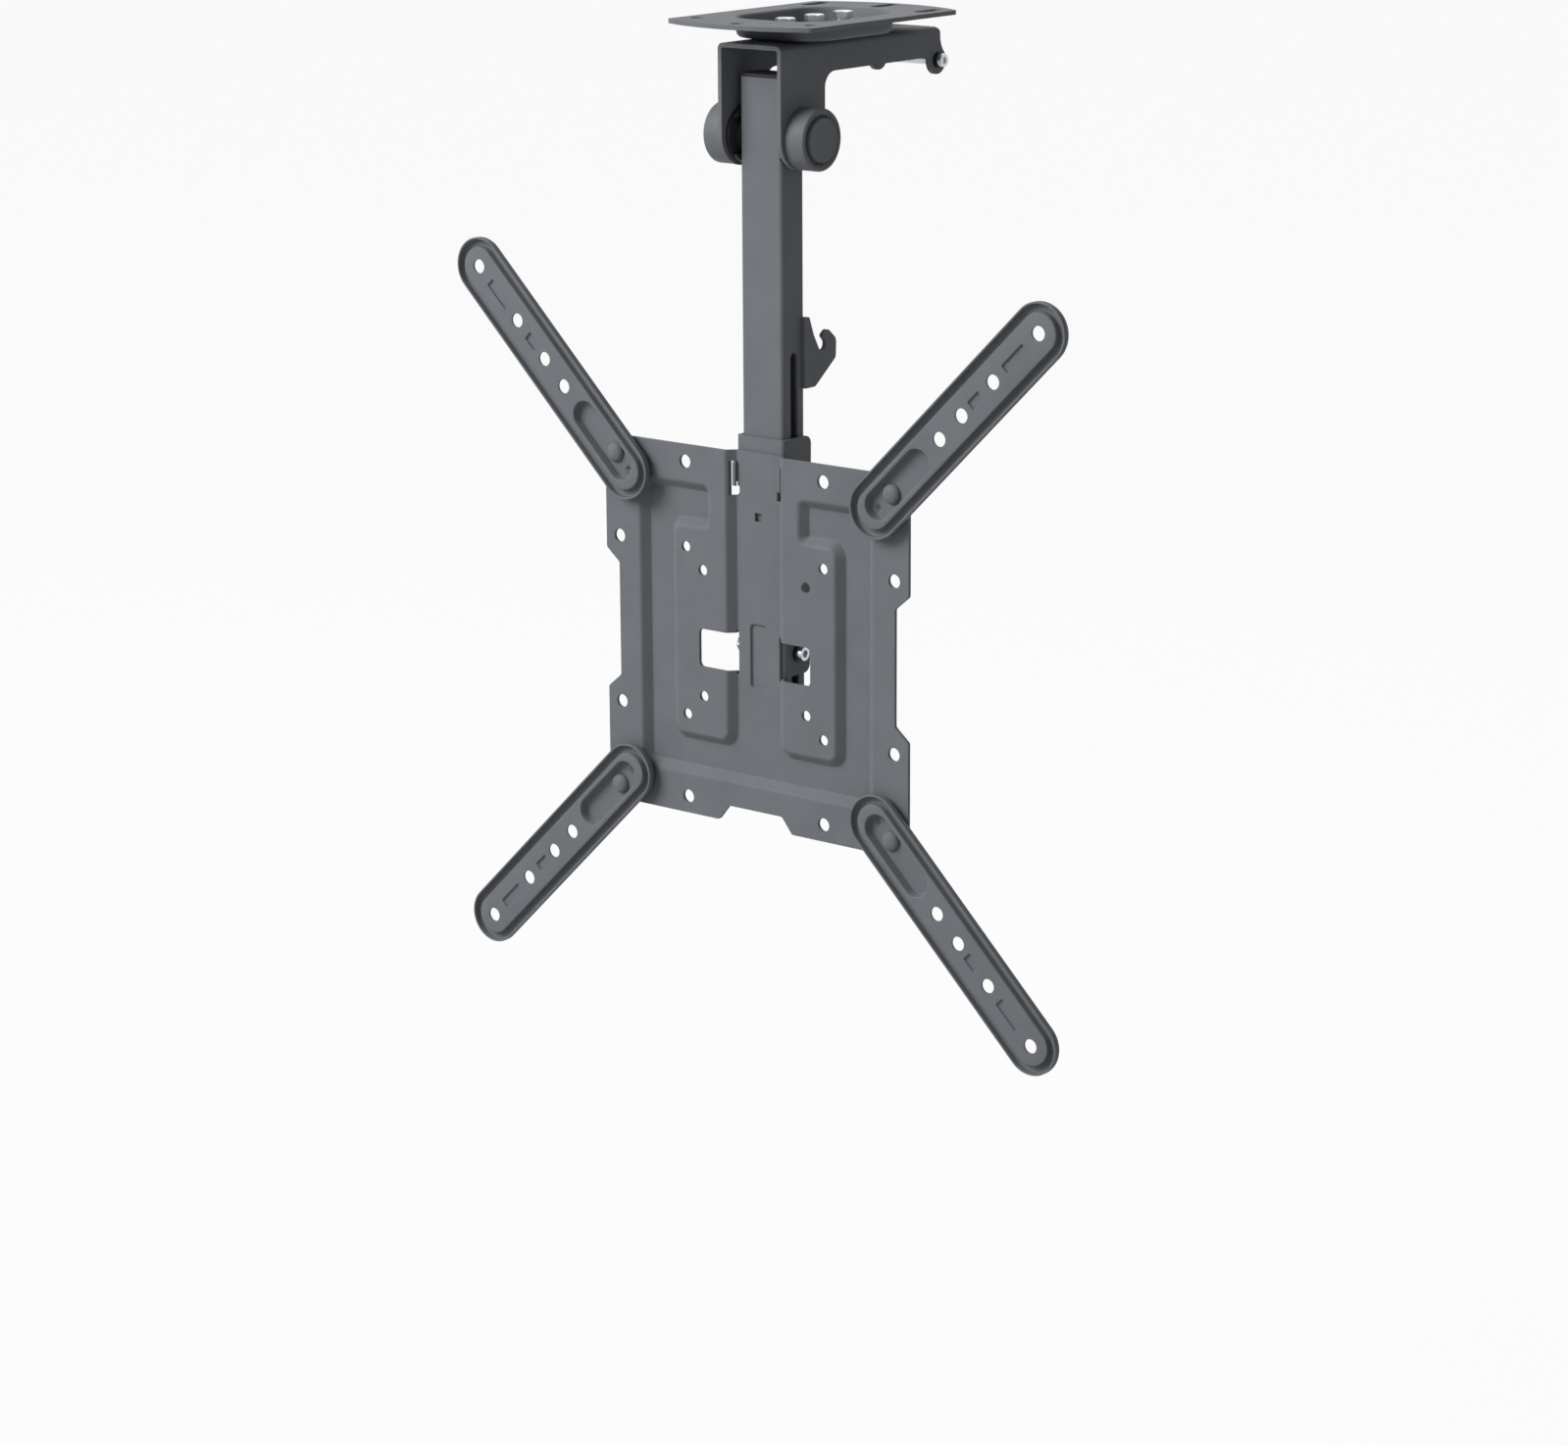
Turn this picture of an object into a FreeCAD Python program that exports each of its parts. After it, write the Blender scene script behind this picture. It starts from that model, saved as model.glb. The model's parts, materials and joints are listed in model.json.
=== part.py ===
# Ceiling mount for a flat screen: ceiling plate, swivelling bracket, folding tube, sliding carriage,
# VESA plate and four swinging arms.
# Millimetres. +X is to the right as the screen is seen, +Y points to the rear, +Z is up.
# The origin lies on the ceiling, midway between the two front screw holes of the ceiling plate.
import FreeCAD, Part

import math
import os

V = FreeCAD.Vector

# Sheet thicknesses
CEILING_SHEET = 2.5
BRACKET_SHEET = 2.5
CARRIAGE_SHEET = 2.0
PLATE_SHEET = 2.0
ARM_SHEET = 2.0
HOOK_SHEET = 2.5

# Clearances
SHAFT_CLEARANCE = 0.08
BOLT_CLEARANCE = 0.3
SLIDE_CLEARANCE = 0.3
RUB_CLEARANCE = 0.1

# Ceiling plate
CEILING_HALF_WIDTH = 51.2
CEILING_FRONT = 25.6
CEILING_FRONT_R = 112.0
CEILING_BACK = 135.4
CEILING_BACK_R = 96.0
CEILING_CORNER = 4.0
FRONT_HOLE_X = 40.0
FRONT_HOLE_OUT = 14.4
CEILING_HOLE_D = 8.0
REAR_SLOT_X = 40.0
REAR_SLOT_Y = 108.2
REAR_SLOT_OUT = 12.6
REAR_SLOT_TRAVEL = 15.0

# Dish pressed into the ceiling plate, with its centre on the swivel axis
SWIVEL_Y = 54.6
DISH_HALF_X = 32.5
DISH_HALF_Y = 43.0
DISH_CORNER = 22.0
DISH_DEPTH = 8.8
DISH_DRAFT = 2.0
DISH_RIM_BEND = 2.0
DISH_FOOT_BEND = 3.0

# Swivel
SWIVEL_BOLT_D = 6.0
SWIVEL_BOLT_REACH = 26.4
SWIVEL_ARC_HALF = 22.0
SWIVEL_HEAD_AF = 10.0
SWIVEL_HEAD_H = 4.0
SWIVEL_RING_D = 12.5
SWIVEL_RING_T = 1.2
SWIVEL_SLEEVE_D = 8.0
SWIVEL_SLEEVE_H = 3.6
SWIVEL_DISC_D = 72.0
SWIVEL_DISC_T = 1.0
SWIVEL_NUT_H = 5.0
SWIVEL_THREAD_OUT = 1.5

# Bracket
BRACKET_HALF_WIDTH = 22.25
BRACKET_BEND = 3.5
BRACKET_ARM_DEPTH = 17.0
BRACKET_THROAT = 9.0
LEG_HALF = 20.0
LUG_R = 8.2
LUG_THROAT = 1.2
REAR_TOP_CORNER = 4.0
REAR_FLARE = 5.5
REAR_FLARE_START = 9.0
REAR_FLARE_END = 2.0
REAR_FLARE_R = 14.0
LUG_SHOULDER_R = 4.0
WEB_SETBACK = 4.0
WEB_RELIEF_D = 2.0

# Fold pivot
PIVOT_Y = 15.5
PIVOT_DROP = 64.4
PIVOT_BOLT_D = 10.0
PIVOT_HEAD_AF = 16.0
PIVOT_HEAD_H = 6.0
PIVOT_NUT_H = 6.0
PIVOT_THREAD_OUT = 0.5
PIVOT_RING_D = 21.0
PIVOT_RING_T = 1.6
SPACER_D = 33.0
SPACER_TAB = 2.4
SPACER_WINDOW = 10.5
SPACER_BOSS_D = 20.0
SLEEVE_WALL = 2.5
CAP_D = 35.0
CAP_DEPTH = 13.6
CAP_BORE_D = 26.2
CAP_BEVEL = 1.8
CAP_DISC_D = 25.0
CAP_DISC_OUT = 0.8
CAP_GROOVE = 0.6
CAP_DISC_FLANGE = 2.5
CAP_DISC_BEVEL = 0.7

# Catch bolt through the rear lugs
CATCH_Y = 141.7
CATCH_DROP = 31.4
CATCH_D = 6.0
CATCH_HEAD_D = 7.6
CATCH_HEAD_H = 3.0
CATCH_SOCKET_AF = 3.6
CATCH_RING_D = 8.8
CATCH_RING_T = 2.2
CATCH_NUT_AF = 9.0
CATCH_NUT_H = 4.0
CATCH_THREAD_OUT = 1.0

# Socket screws
SOCKET_SHARE = 0.75
SCREW_BEVEL = 0.5

# Corners of hexagonal heads and nuts
HEX_FACE_SHARE = 0.98
HEX_BEVEL_SLOPE = 0.55

# Tube
TUBE_WIDTH = 30.0
TUBE_DEPTH = 20.0
TUBE_WALL = 2.0
TUBE_CORNER = 2.5
TUBE_ABOVE_PIVOT = 35.0
TUBE_BELOW_PIVOT = 343.2
TUBE_SLOT_WIDTH = 6.5
TUBE_SLOT_TOP = 121.2
TUBE_SLOT_BOTTOM = 12.0
PLUG_FLANGE = 2.0
PLUG_DEPTH = 9.0
PLUG_WALL = 2.5
PLUG_FIT = 0.05

# Catch hook on the tube
HOOK_LAP = 3.3
HOOK_TOP_DROP = 101.6
HOOK_HEIGHT = 40.9
HOOK_REACH = 26.2
HOOK_SHOULDER = 15.8
HOOK_HEEL = 26.6
HOOK_HEEL_IN = 0.6
HOOK_FOOT_OUT = 6.5
HOOK_NECK_OUT = 1.2
HOOK_THROAT_OUT = 11.6
HOOK_THROAT_DROP = 22.3
HOOK_THROAT_R = 3.3
HOOK_SEAT_OUT = 18.4
HOOK_SEAT_DROP = 18.2
HOOK_TOOTH_OUT = 12.8
HOOK_TOOTH_DROP = 12.6
HOOK_CROWN_OUT = 17.9
HOOK_CROWN_DROP = 8.8
HOOK_WAIST_OUT = 5.3
HOOK_WAIST_DROP = 11.2

# Carriage on the tube
CARRIAGE_TOP_DROP = 169.7
CARRIAGE_LENGTH = 138.5
CARRIAGE_REAR_REACH = 2.6
CARRIAGE_TAPER = 1.8
CARRIAGE_BEND = 2.5
CARRIAGE_CORNER = 5.0
CARRIAGE_BOLT_BELOW_TOP = 41.5
CARRIAGE_BOLT_ABOVE_FOOT = 13.0
KEY_WINDOW_CLEARANCE = 1.0
CLAMP_BOLT_D = 6.0
CLAMP_HEAD_D = 8.2
CLAMP_HEAD_H = 3.6
CLAMP_SOCKET_AF = 4.0
CLAMP_RING_D = 10.4
CLAMP_RING_T = 1.6
CLAMP_NUT_AF = 10.0
CLAMP_NUT_H = 5.0
CLAMP_THREAD_OUT = 1.5

# VESA plate
PLATE_MARGIN = 10.0
PLATE_INSET = 9.5
SIDE_INSET_HALF = 34.0
SIDE_INSET_RUN = 8.0
NOTCH_HALF = 19.5
NOTCH_RUN = 7.5
PLATE_DROP = 352.6
FIELD_SIDE_BORDER = 25.3
FIELD_TOP_BORDER = 22.0
FIELD_BOTTOM_BORDER = 24.0
FIELD_DEPTH = 4.7
FIELD_DRAFT = 4.9
FIELD_CORNER = 8.0
PAD_INNER = 20.5
PAD_OUTER = 58.0
PAD_TOP = 62.0
PAD_BOTTOM = 61.0
PAD_CORNER = 5.0
NECK_OUTER = 32.0
PLATE_CORNER = 2.5
PLATE_BEND = 1.0
WINDOW_OUTER = 40.6
WINDOW_INNER = 14.8
WINDOW_TOP = 2.8
WINDOW_BOTTOM = 20.0
WINDOW_CORNER = 3.0
NICK = 1.5
KEY_HALF_WIDTH = 6.9
KEY_TOP = 10.0
KEY_BOTTOM = 29.0
KEY_DEPTH = 1.4
KEY_DRAFT = 1.0
KEY_CORNER = 3.5
SQUARE_SIZE = 5.0
SQUARE_HEIGHT = 72.5
BORDER_HOLE_D = 8.0
PAD_HOLE_D = 6.3
VESA_75 = 75.0
VESA_100 = 100.0
VESA_200 = 200.0
VESA_300 = 300.0
VESA_400 = 400.0

# Hook tabs of the carriage, which pass through the plate's slots, and the relief below each tab
TAB_TOP = 103.5
TAB_HEIGHT = 11.7
TAB_LIP_HEIGHT = 2.5
TAB_FRONT = 2.8
TAB_LIP_DEPTH = 1.4
TAB_CLEARANCE = 0.3
TAB_NOSE_R = 1.2
TAB_LIP_R = 0.5
TAB_ROOM = 1.7
RELIEF_HEIGHT = 5.6
RELIEF_WIDEN = 1.4
RELIEF_DEPTH = 6.5

# Arms
ARM_HALF_WIDTH = 17.1
ARM_TAIL = 13.0
ARM_CREST = 9.0
ARM_FLOOR = 6.8
ARM_FLANGE_FOOT = 2.0
ARM_BEND = 3.0
ARM_INNER_BEND = 1.0
PAN_BEND = 0.8
ARM_CREST_HALF = 13.6
ARM_FLOOR_HALF = 11.2
ARM_HOLE_D = 8.4
PAN_HALF = 8.6
PAN_FLOOR_HALF = 7.2
PAN_TAIL = 9.5
PAN_REACH = 28.0
LONG_MARK = 19.0
LONG_MARK_AT = 120.0
SHORT_MARK = 10.0
SHORT_MARK_AT = 84.0
MARK_WIDTH = 6.0
MARK_CORNER = 0.8
ARM_MARK_DEPTH = 0.9
DETENT = 4.6
DETENT_AT = 13.4
DETENT_DEPTH = 0.8

# Rivets of the arms
RIVET_D = 8.0
RIVET_HEAD_D = 12.0
RIVET_HEAD_H = 3.4
RIVET_DOME = ((0.38, 0.94), (0.71, 0.73), (0.92, 0.4))
RIVET_TAIL_D = 12.0
RIVET_TAIL_H = 2.0
RIVET_TAIL_BEVEL = 0.7
RIVET_PLATE_FIT = 0.01

# How far cutting solids run past the faces that they cut
OVERCUT = 0.5
BEYOND = 1.0

# Heights and faces worked out from the sizes above
DISH_FLOOR = -DISH_DEPTH
DISH_UNDER = DISH_FLOOR - CEILING_SHEET
WEB_TOP = DISH_UNDER - SWIVEL_DISC_T
WEB_UNDER = WEB_TOP - BRACKET_SHEET
PIVOT_Z = -PIVOT_DROP
CATCH_Z = -CATCH_DROP
BRACKET_FRONT = PIVOT_Y - LEG_HALF
BRACKET_INNER = BRACKET_HALF_WIDTH - BRACKET_SHEET
TUBE_FRONT = PIVOT_Y - TUBE_DEPTH / 2
TUBE_REAR = PIVOT_Y + TUBE_DEPTH / 2
TUBE_SIDE = TUBE_WIDTH / 2
TUBE_TOP = PIVOT_Z + TUBE_ABOVE_PIVOT
TUBE_BOTTOM = PIVOT_Z - TUBE_BELOW_PIVOT
CARRIAGE_INNER = TUBE_SIDE + SLIDE_CLEARANCE
CARRIAGE_OUTER = CARRIAGE_INNER + CARRIAGE_SHEET
CARRIAGE_FRONT = TUBE_FRONT - SLIDE_CLEARANCE - CARRIAGE_SHEET
CARRIAGE_REAR = TUBE_REAR + CARRIAGE_REAR_REACH
CARRIAGE_TOP = PIVOT_Z - CARRIAGE_TOP_DROP
CARRIAGE_FOOT = CARRIAGE_TOP - CARRIAGE_LENGTH
CLAMP_HEIGHTS = (CARRIAGE_TOP - CARRIAGE_BOLT_BELOW_TOP, CARRIAGE_FOOT + CARRIAGE_BOLT_ABOVE_FOOT)
PLATE_Z = -PLATE_DROP
PLATE_HALF = VESA_200 / 2 + PLATE_MARGIN
FIELD_HALF_WIDTH = PLATE_HALF - FIELD_SIDE_BORDER
FIELD_TOP = PLATE_HALF - FIELD_TOP_BORDER
FIELD_BOTTOM = PLATE_HALF - FIELD_BOTTOM_BORDER
PLATE_FRONT = CARRIAGE_FRONT - PLATE_SHEET - FIELD_DEPTH
PLATE_REAR = PLATE_FRONT + PLATE_SHEET
FIELD_FACE = PLATE_FRONT + FIELD_DEPTH
TAB_SLOT_INNER = CARRIAGE_INNER - TAB_CLEARANCE
TAB_SLOT_OUTER = CARRIAGE_OUTER + TAB_ROOM
TAB_FOOT = TAB_TOP - TAB_HEIGHT
TAB_LIP = TAB_FOOT - TAB_LIP_HEIGHT
HOOK_SLOT_TOP = TAB_TOP + TAB_CLEARANCE
HOOK_SLOT_BOTTOM = TAB_LIP - RELIEF_HEIGHT
ARM_REAR = PLATE_FRONT - RUB_CLEARANCE
RIVET_AT = VESA_200 / 2
REACH_300 = (VESA_300 - VESA_200) / 2
REACH_400 = (VESA_400 - VESA_200) / 2
ARM_REACHES = (REACH_300, REACH_300 * math.sqrt(2), REACH_400, REACH_400 * math.sqrt(2))
ARM_END = ARM_REACHES[-1]

PLANE_NORMALS = {"xy": V(0, 0, 1), "xz": V(0, 1, 0), "yz": V(1, 0, 0)}


def in_plane(plane, a, b, level):
    """A point of a plane, where level is its place on the plane's normal."""
    if plane == "xy":
        return V(a, b, level)
    if plane == "xz":
        return V(a, level, b)
    return V(level, a, b)


def rounded_corner(before, corner, after, radius):
    """Start, middle and end of the arc that rounds a corner, or the corner itself three times."""
    ax, ay = before[0] - corner[0], before[1] - corner[1]
    bx, by = after[0] - corner[0], after[1] - corner[1]
    a_length, b_length = math.hypot(ax, ay), math.hypot(bx, by)
    ax, ay, bx, by = ax / a_length, ay / a_length, bx / b_length, by / b_length
    turn = math.acos(max(-1.0, min(1.0, ax * bx + ay * by)))
    if radius <= 0 or math.pi - turn < 1e-6:
        return corner, corner, corner
    reach = radius / math.tan(turn / 2)
    depth = radius / math.sin(turn / 2) - radius
    half = math.hypot(ax + bx, ay + by)
    start = (corner[0] + ax * reach, corner[1] + ay * reach)
    middle = (corner[0] + (ax + bx) / half * depth, corner[1] + (ay + by) / half * depth)
    end = (corner[0] + bx * reach, corner[1] + by * reach)
    return start, middle, end


def outline(points, radii, plane, level):
    """A closed wire through the points, each corner rounded by its own radius."""
    count = len(points)
    corners = []
    for i in range(count):
        corners.append(rounded_corner(points[i - 1], points[i], points[(i + 1) % count], radii[i]))
    edges = []
    for i in range(count):
        start, middle, end = [in_plane(plane, p[0], p[1], level) for p in corners[i]]
        following = in_plane(plane, *corners[(i + 1) % count][0], level)
        if start.distanceToPoint(end) > 1e-6:
            edges.append(Part.Arc(start, middle, end).toShape())
        if end.distanceToPoint(following) > 1e-6:
            edges.append(Part.LineSegment(end, following).toShape())
    return Part.Wire(edges)


def prism(points, radii, plane, low, high):
    """The outline pulled straight from low to high along the plane's normal."""
    face = Part.Face(outline(points, radii, plane, low))
    return face.extrude(PLANE_NORMALS[plane] * (high - low))


def moved_in(points, radii, distance):
    """The outline, given counter-clockwise, with each edge moved inwards and its radii to match."""
    count = len(points)
    lines = []
    for i in range(count):
        (x0, y0), (x1, y1) = points[i], points[(i + 1) % count]
        length = math.hypot(x1 - x0, y1 - y0)
        nx, ny = -(y1 - y0) / length, (x1 - x0) / length
        lines.append((nx, ny, nx * x0 + ny * y0 + distance))
    new_points = []
    new_radii = []
    for i in range(count):
        (a0, b0, c0), (a1, b1, c1) = lines[i - 1], lines[i]
        cross = a0 * b1 - b0 * a1
        new_points.append(((c0 * b1 - b0 * c1) / cross, (a0 * c1 - c0 * a1) / cross))
        change = -distance if cross > 0 else distance
        new_radii.append(max(radii[i] + change, 0.4) if radii[i] > 0 else 0)
    return new_points, new_radii


def drafted(points, radii, plane, level_a, inset_a, level_b, inset_b):
    """A solid whose outline shrinks evenly from one level to the other."""
    first = outline(*moved_in(points, radii, inset_a), plane, level_a)
    second = outline(*moved_in(points, radii, inset_b), plane, level_b)
    return Part.makeLoft([first, second], True, True)


def stadium(x0, x1, half):
    """Corner points of an oblong with round ends about x0 and x1, and its radii."""
    points = [(x0 - half, -half), (x1 + half, -half), (x1 + half, half), (x0 - half, half)]
    return points, [half] * 4


def rectangle(x0, x1, y0, y1, radius=0.0):
    """Corner points of a rectangle, counter-clockwise, and its radii."""
    return [(x0, y0), (x1, y0), (x1, y1), (x0, y1)], [radius] * 4


def box(x0, x1, y0, y1, z0, z1):
    return Part.makeBox(x1 - x0, y1 - y0, z1 - z0, V(x0, y0, z0))


def rod(axis, diameter, low, high, a, b):
    """A cylinder along an axis, from low to high, at a and b on the other two axes."""
    if axis == "x":
        return Part.makeCylinder(diameter / 2, high - low, V(low, a, b), V(1, 0, 0))
    if axis == "y":
        return Part.makeCylinder(diameter / 2, high - low, V(a, low, b), V(0, 1, 0))
    return Part.makeCylinder(diameter / 2, high - low, V(a, b, low), V(0, 0, 1))


def turned(profile, axis, a, b):
    """A turned solid: the profile's points are radius and place along the axis."""
    points = [V(radius, 0, along) for radius, along in profile]
    solid = Part.Face(Part.makePolygon(points + points[:1])).revolve(V(0, 0, 0), V(0, 0, 1), 360)
    if axis == "x":
        solid.rotate(V(0, 0, 0), V(0, 1, 0), 90)
        solid.translate(V(0, a, b))
    elif axis == "y":
        solid.rotate(V(0, 0, 0), V(1, 0, 0), -90)
        solid.translate(V(a, 0, b))
    else:
        solid.translate(V(a, b, 0))
    return solid


def hexagon(axis, across, low, high, a, b):
    """A hexagonal bar along an axis, with the width across its flats."""
    radius = across / math.sqrt(3)
    plane = {"x": "yz", "y": "xz", "z": "xy"}[axis]
    points = []
    for i in range(6):
        angle = math.radians(60 * i)
        points.append((a + radius * math.cos(angle), b + radius * math.sin(angle)))
    return prism(points, [0] * 6, plane, low, high)


def hex_chamfered(axis, across, low, high, a, b, chamfer_low, chamfer_high):
    """A hexagonal head or nut whose corners are turned down at the ends that are named."""
    bar = hexagon(axis, across, low, high, a, b)
    wide = across / math.sqrt(3)
    narrow = across / 2 * HEX_FACE_SHARE
    slope = (wide - narrow) * HEX_BEVEL_SLOPE
    profile = [(0, low), (narrow if chamfer_low else wide, low)]
    profile += [(wide, low + slope), (wide, high - slope)]
    profile += [(narrow if chamfer_high else wide, high), (0, high)]
    return bar.common(turned(profile, axis, a, b))


def edges_where(shape, test):
    """The edges whose sampled points all pass the test."""
    chosen = []
    for edge in shape.Edges:
        first, last = edge.ParameterRange
        points = [edge.valueAt(first + (last - first) * k / 4) for k in range(5)]
        if all(test(p) for p in points):
            chosen.append(edge)
    return chosen


def on_dish_rim(point):
    """Whether a point lies on the upper edge of the ceiling plate's dish."""
    within = abs(point.x) < DISH_HALF_X + 1e-3 and abs(point.y - SWIVEL_Y) < DISH_HALF_Y + 1e-3
    return abs(point.z) < 1e-4 and within


def ceiling_slab():
    """Blank of the ceiling plate: straight sides, and an arched end at the front and the back."""
    half = CEILING_HALF_WIDTH
    low = -CEILING_SHEET
    slab = box(-half, half, -CEILING_FRONT - BEYOND, CEILING_BACK + BEYOND, low, 0)
    slab = slab.common(rod("z", 2 * CEILING_FRONT_R, low, 0, 0, CEILING_FRONT_R - CEILING_FRONT))
    slab = slab.common(rod("z", 2 * CEILING_BACK_R, low, 0, 0, CEILING_BACK - CEILING_BACK_R))
    upright = [edge for edge in slab.Edges if abs(edge.Length - CEILING_SHEET) < 1e-4]
    return slab.makeFillet(CEILING_CORNER, upright)


def ceiling_plate():
    slab = ceiling_slab()
    dish, dish_radii = rectangle(
        -DISH_HALF_X, DISH_HALF_X, SWIVEL_Y - DISH_HALF_Y, SWIVEL_Y + DISH_HALF_Y, DISH_CORNER)
    slope = DISH_DRAFT / DISH_DEPTH
    wall = CEILING_SHEET * math.sqrt(1 + slope * slope)
    pocket = drafted(dish, dish_radii, "xy", BEYOND, -slope * BEYOND, DISH_FLOOR, DISH_DRAFT)
    under = drafted(dish, dish_radii, "xy", -CEILING_SHEET / 2, slope * CEILING_SHEET / 2 - wall,
                    DISH_UNDER, slope * (DISH_DEPTH + CEILING_SHEET) - wall)
    foot = edges_where(under, lambda p: abs(p.z - DISH_UNDER) < 1e-4)
    under = under.makeFillet(DISH_FOOT_BEND, foot)
    plate = slab.fuse(under).cut(pocket).removeSplitter()
    plate = plate.makeFillet(DISH_RIM_BEND, edges_where(plate, on_dish_rim))
    for x, y in ((-FRONT_HOLE_X, 0), (FRONT_HOLE_X, 0), (0, -FRONT_HOLE_OUT)):
        plate = plate.cut(rod("z", CEILING_HOLE_D, -CEILING_SHEET - BEYOND, BEYOND, x, y))
    for x, out in ((-REAR_SLOT_X, 0), (REAR_SLOT_X, 0), (0, REAR_SLOT_OUT)):
        y0 = REAR_SLOT_Y + out - REAR_SLOT_TRAVEL / 2
        half = CEILING_HOLE_D / 2
        slot, slot_radii = rectangle(x - half, x + half, y0 - half, y0 + REAR_SLOT_TRAVEL + half, half)
        plate = plate.cut(prism(slot, slot_radii, "xy", -CEILING_SHEET - BEYOND, BEYOND))
    plate = plate.cut(rod("z", SWIVEL_BOLT_D + 2 * SHAFT_CLEARANCE, DISH_UNDER - BEYOND, 0, 0, SWIVEL_Y))
    for side in (-90, 90):
        plate = plate.cut(arc_slot(side))
    return plate


def arc_slot(towards):
    """Curved slot about the swivel axis, centred on the direction that is given in degrees."""
    half = SWIVEL_BOLT_D / 2 + BOLT_CLEARANCE
    low = DISH_UNDER - BEYOND
    centre = V(0, SWIVEL_Y, low)
    height = CEILING_SHEET + 2 * BEYOND
    first = towards - SWIVEL_ARC_HALF
    ring = Part.makeCylinder(SWIVEL_BOLT_REACH + half, height, centre, V(0, 0, 1), 2 * SWIVEL_ARC_HALF)
    ring = ring.cut(Part.makeCylinder(SWIVEL_BOLT_REACH - half, height, centre, V(0, 0, 1)))
    ring.rotate(centre, V(0, 0, 1), first)
    slot = ring
    for angle in (first, first + 2 * SWIVEL_ARC_HALF):
        x = SWIVEL_BOLT_REACH * math.cos(math.radians(angle))
        y = SWIVEL_Y + SWIVEL_BOLT_REACH * math.sin(math.radians(angle))
        slot = slot.fuse(rod("z", 2 * half, low, low + height, x, y))
    return slot


def swivel_places():
    return [SWIVEL_Y + step * SWIVEL_BOLT_REACH for step in (-1, 0, 1)]


def swivel_washer():
    disc = rod("z", SWIVEL_DISC_D, WEB_TOP, DISH_UNDER, 0, SWIVEL_Y)
    disc = disc.common(box(-BRACKET_HALF_WIDTH + BRACKET_BEND, BRACKET_HALF_WIDTH - BRACKET_BEND,
                           -CEILING_FRONT, CEILING_BACK, WEB_TOP, DISH_UNDER))
    bore = SWIVEL_BOLT_D + 2 * BOLT_CLEARANCE
    for y in swivel_places():
        disc = disc.cut(rod("z", bore, WEB_TOP - BEYOND, DISH_UNDER + BEYOND, 0, y))
    return disc


def swivel_bolts():
    solids = []
    head_base = DISH_FLOOR + SWIVEL_RING_T + SWIVEL_SLEEVE_H
    foot = WEB_UNDER - SWIVEL_RING_T - SWIVEL_NUT_H - SWIVEL_THREAD_OUT
    for y in swivel_places():
        head = hex_chamfered("z", SWIVEL_HEAD_AF, head_base, head_base + SWIVEL_HEAD_H, 0, y, False, True)
        solids.append(head.fuse(rod("z", SWIVEL_BOLT_D, foot, head_base, 0, y)).removeSplitter())
    return Part.makeCompound(solids)


def swivel_sleeves():
    base = DISH_FLOOR + SWIVEL_RING_T
    solids = []
    for y in swivel_places():
        sleeve = rod("z", SWIVEL_SLEEVE_D, base, base + SWIVEL_SLEEVE_H, 0, y)
        bore = rod("z", SWIVEL_BOLT_D + 2 * SHAFT_CLEARANCE, base, base + SWIVEL_SLEEVE_H, 0, y)
        solids.append(sleeve.cut(bore))
    return Part.makeCompound(solids)


def ring(axis, outer, bore, low, high, a, b):
    return rod(axis, outer, low, high, a, b).cut(rod(axis, bore, low, high, a, b))


def swivel_rings():
    bore = SWIVEL_BOLT_D + 2 * SHAFT_CLEARANCE
    solids = []
    for y in swivel_places():
        solids.append(ring("z", SWIVEL_RING_D, bore, DISH_FLOOR, DISH_FLOOR + SWIVEL_RING_T, 0, y))
        solids.append(ring("z", SWIVEL_RING_D, bore, WEB_UNDER - SWIVEL_RING_T, WEB_UNDER, 0, y))
    return Part.makeCompound(solids)


def swivel_nuts():
    top = WEB_UNDER - SWIVEL_RING_T
    foot = top - SWIVEL_NUT_H
    bore = SWIVEL_BOLT_D + 2 * SHAFT_CLEARANCE
    solids = []
    for y in swivel_places():
        nut = hex_chamfered("z", SWIVEL_HEAD_AF, foot, top, 0, y, True, True)
        solids.append(nut.cut(rod("z", bore, foot, top, 0, y)))
    return Part.makeCompound(solids)


def bracket_side():
    """Side outline of the bracket, front to rear, with its radii."""
    leg_foot = PIVOT_Z - LEG_HALF
    leg_rear = PIVOT_Y + LEG_HALF
    arm_under = WEB_TOP - BRACKET_ARM_DEPTH
    lug_foot = CATCH_Z - LUG_R
    corners = [
        (BRACKET_FRONT, WEB_TOP, 0),
        (BRACKET_FRONT, leg_foot, LEG_HALF),
        (leg_rear, leg_foot, LEG_HALF),
        (leg_rear, arm_under, BRACKET_THROAT),
        (CATCH_Y - LUG_R, arm_under, LUG_THROAT),
        (CATCH_Y - LUG_R, lug_foot, LUG_R),
        (CATCH_Y + LUG_R, lug_foot, LUG_R),
        (CATCH_Y + LUG_R, CATCH_Z + REAR_FLARE_END, LUG_SHOULDER_R),
        (CATCH_Y + LUG_R - REAR_FLARE, CATCH_Z + REAR_FLARE_START, REAR_FLARE_R),
        (CATCH_Y + LUG_R - REAR_FLARE, WEB_TOP, REAR_TOP_CORNER),
    ]
    return [(y, z) for y, z, r in corners], [r for y, z, r in corners]


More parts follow.
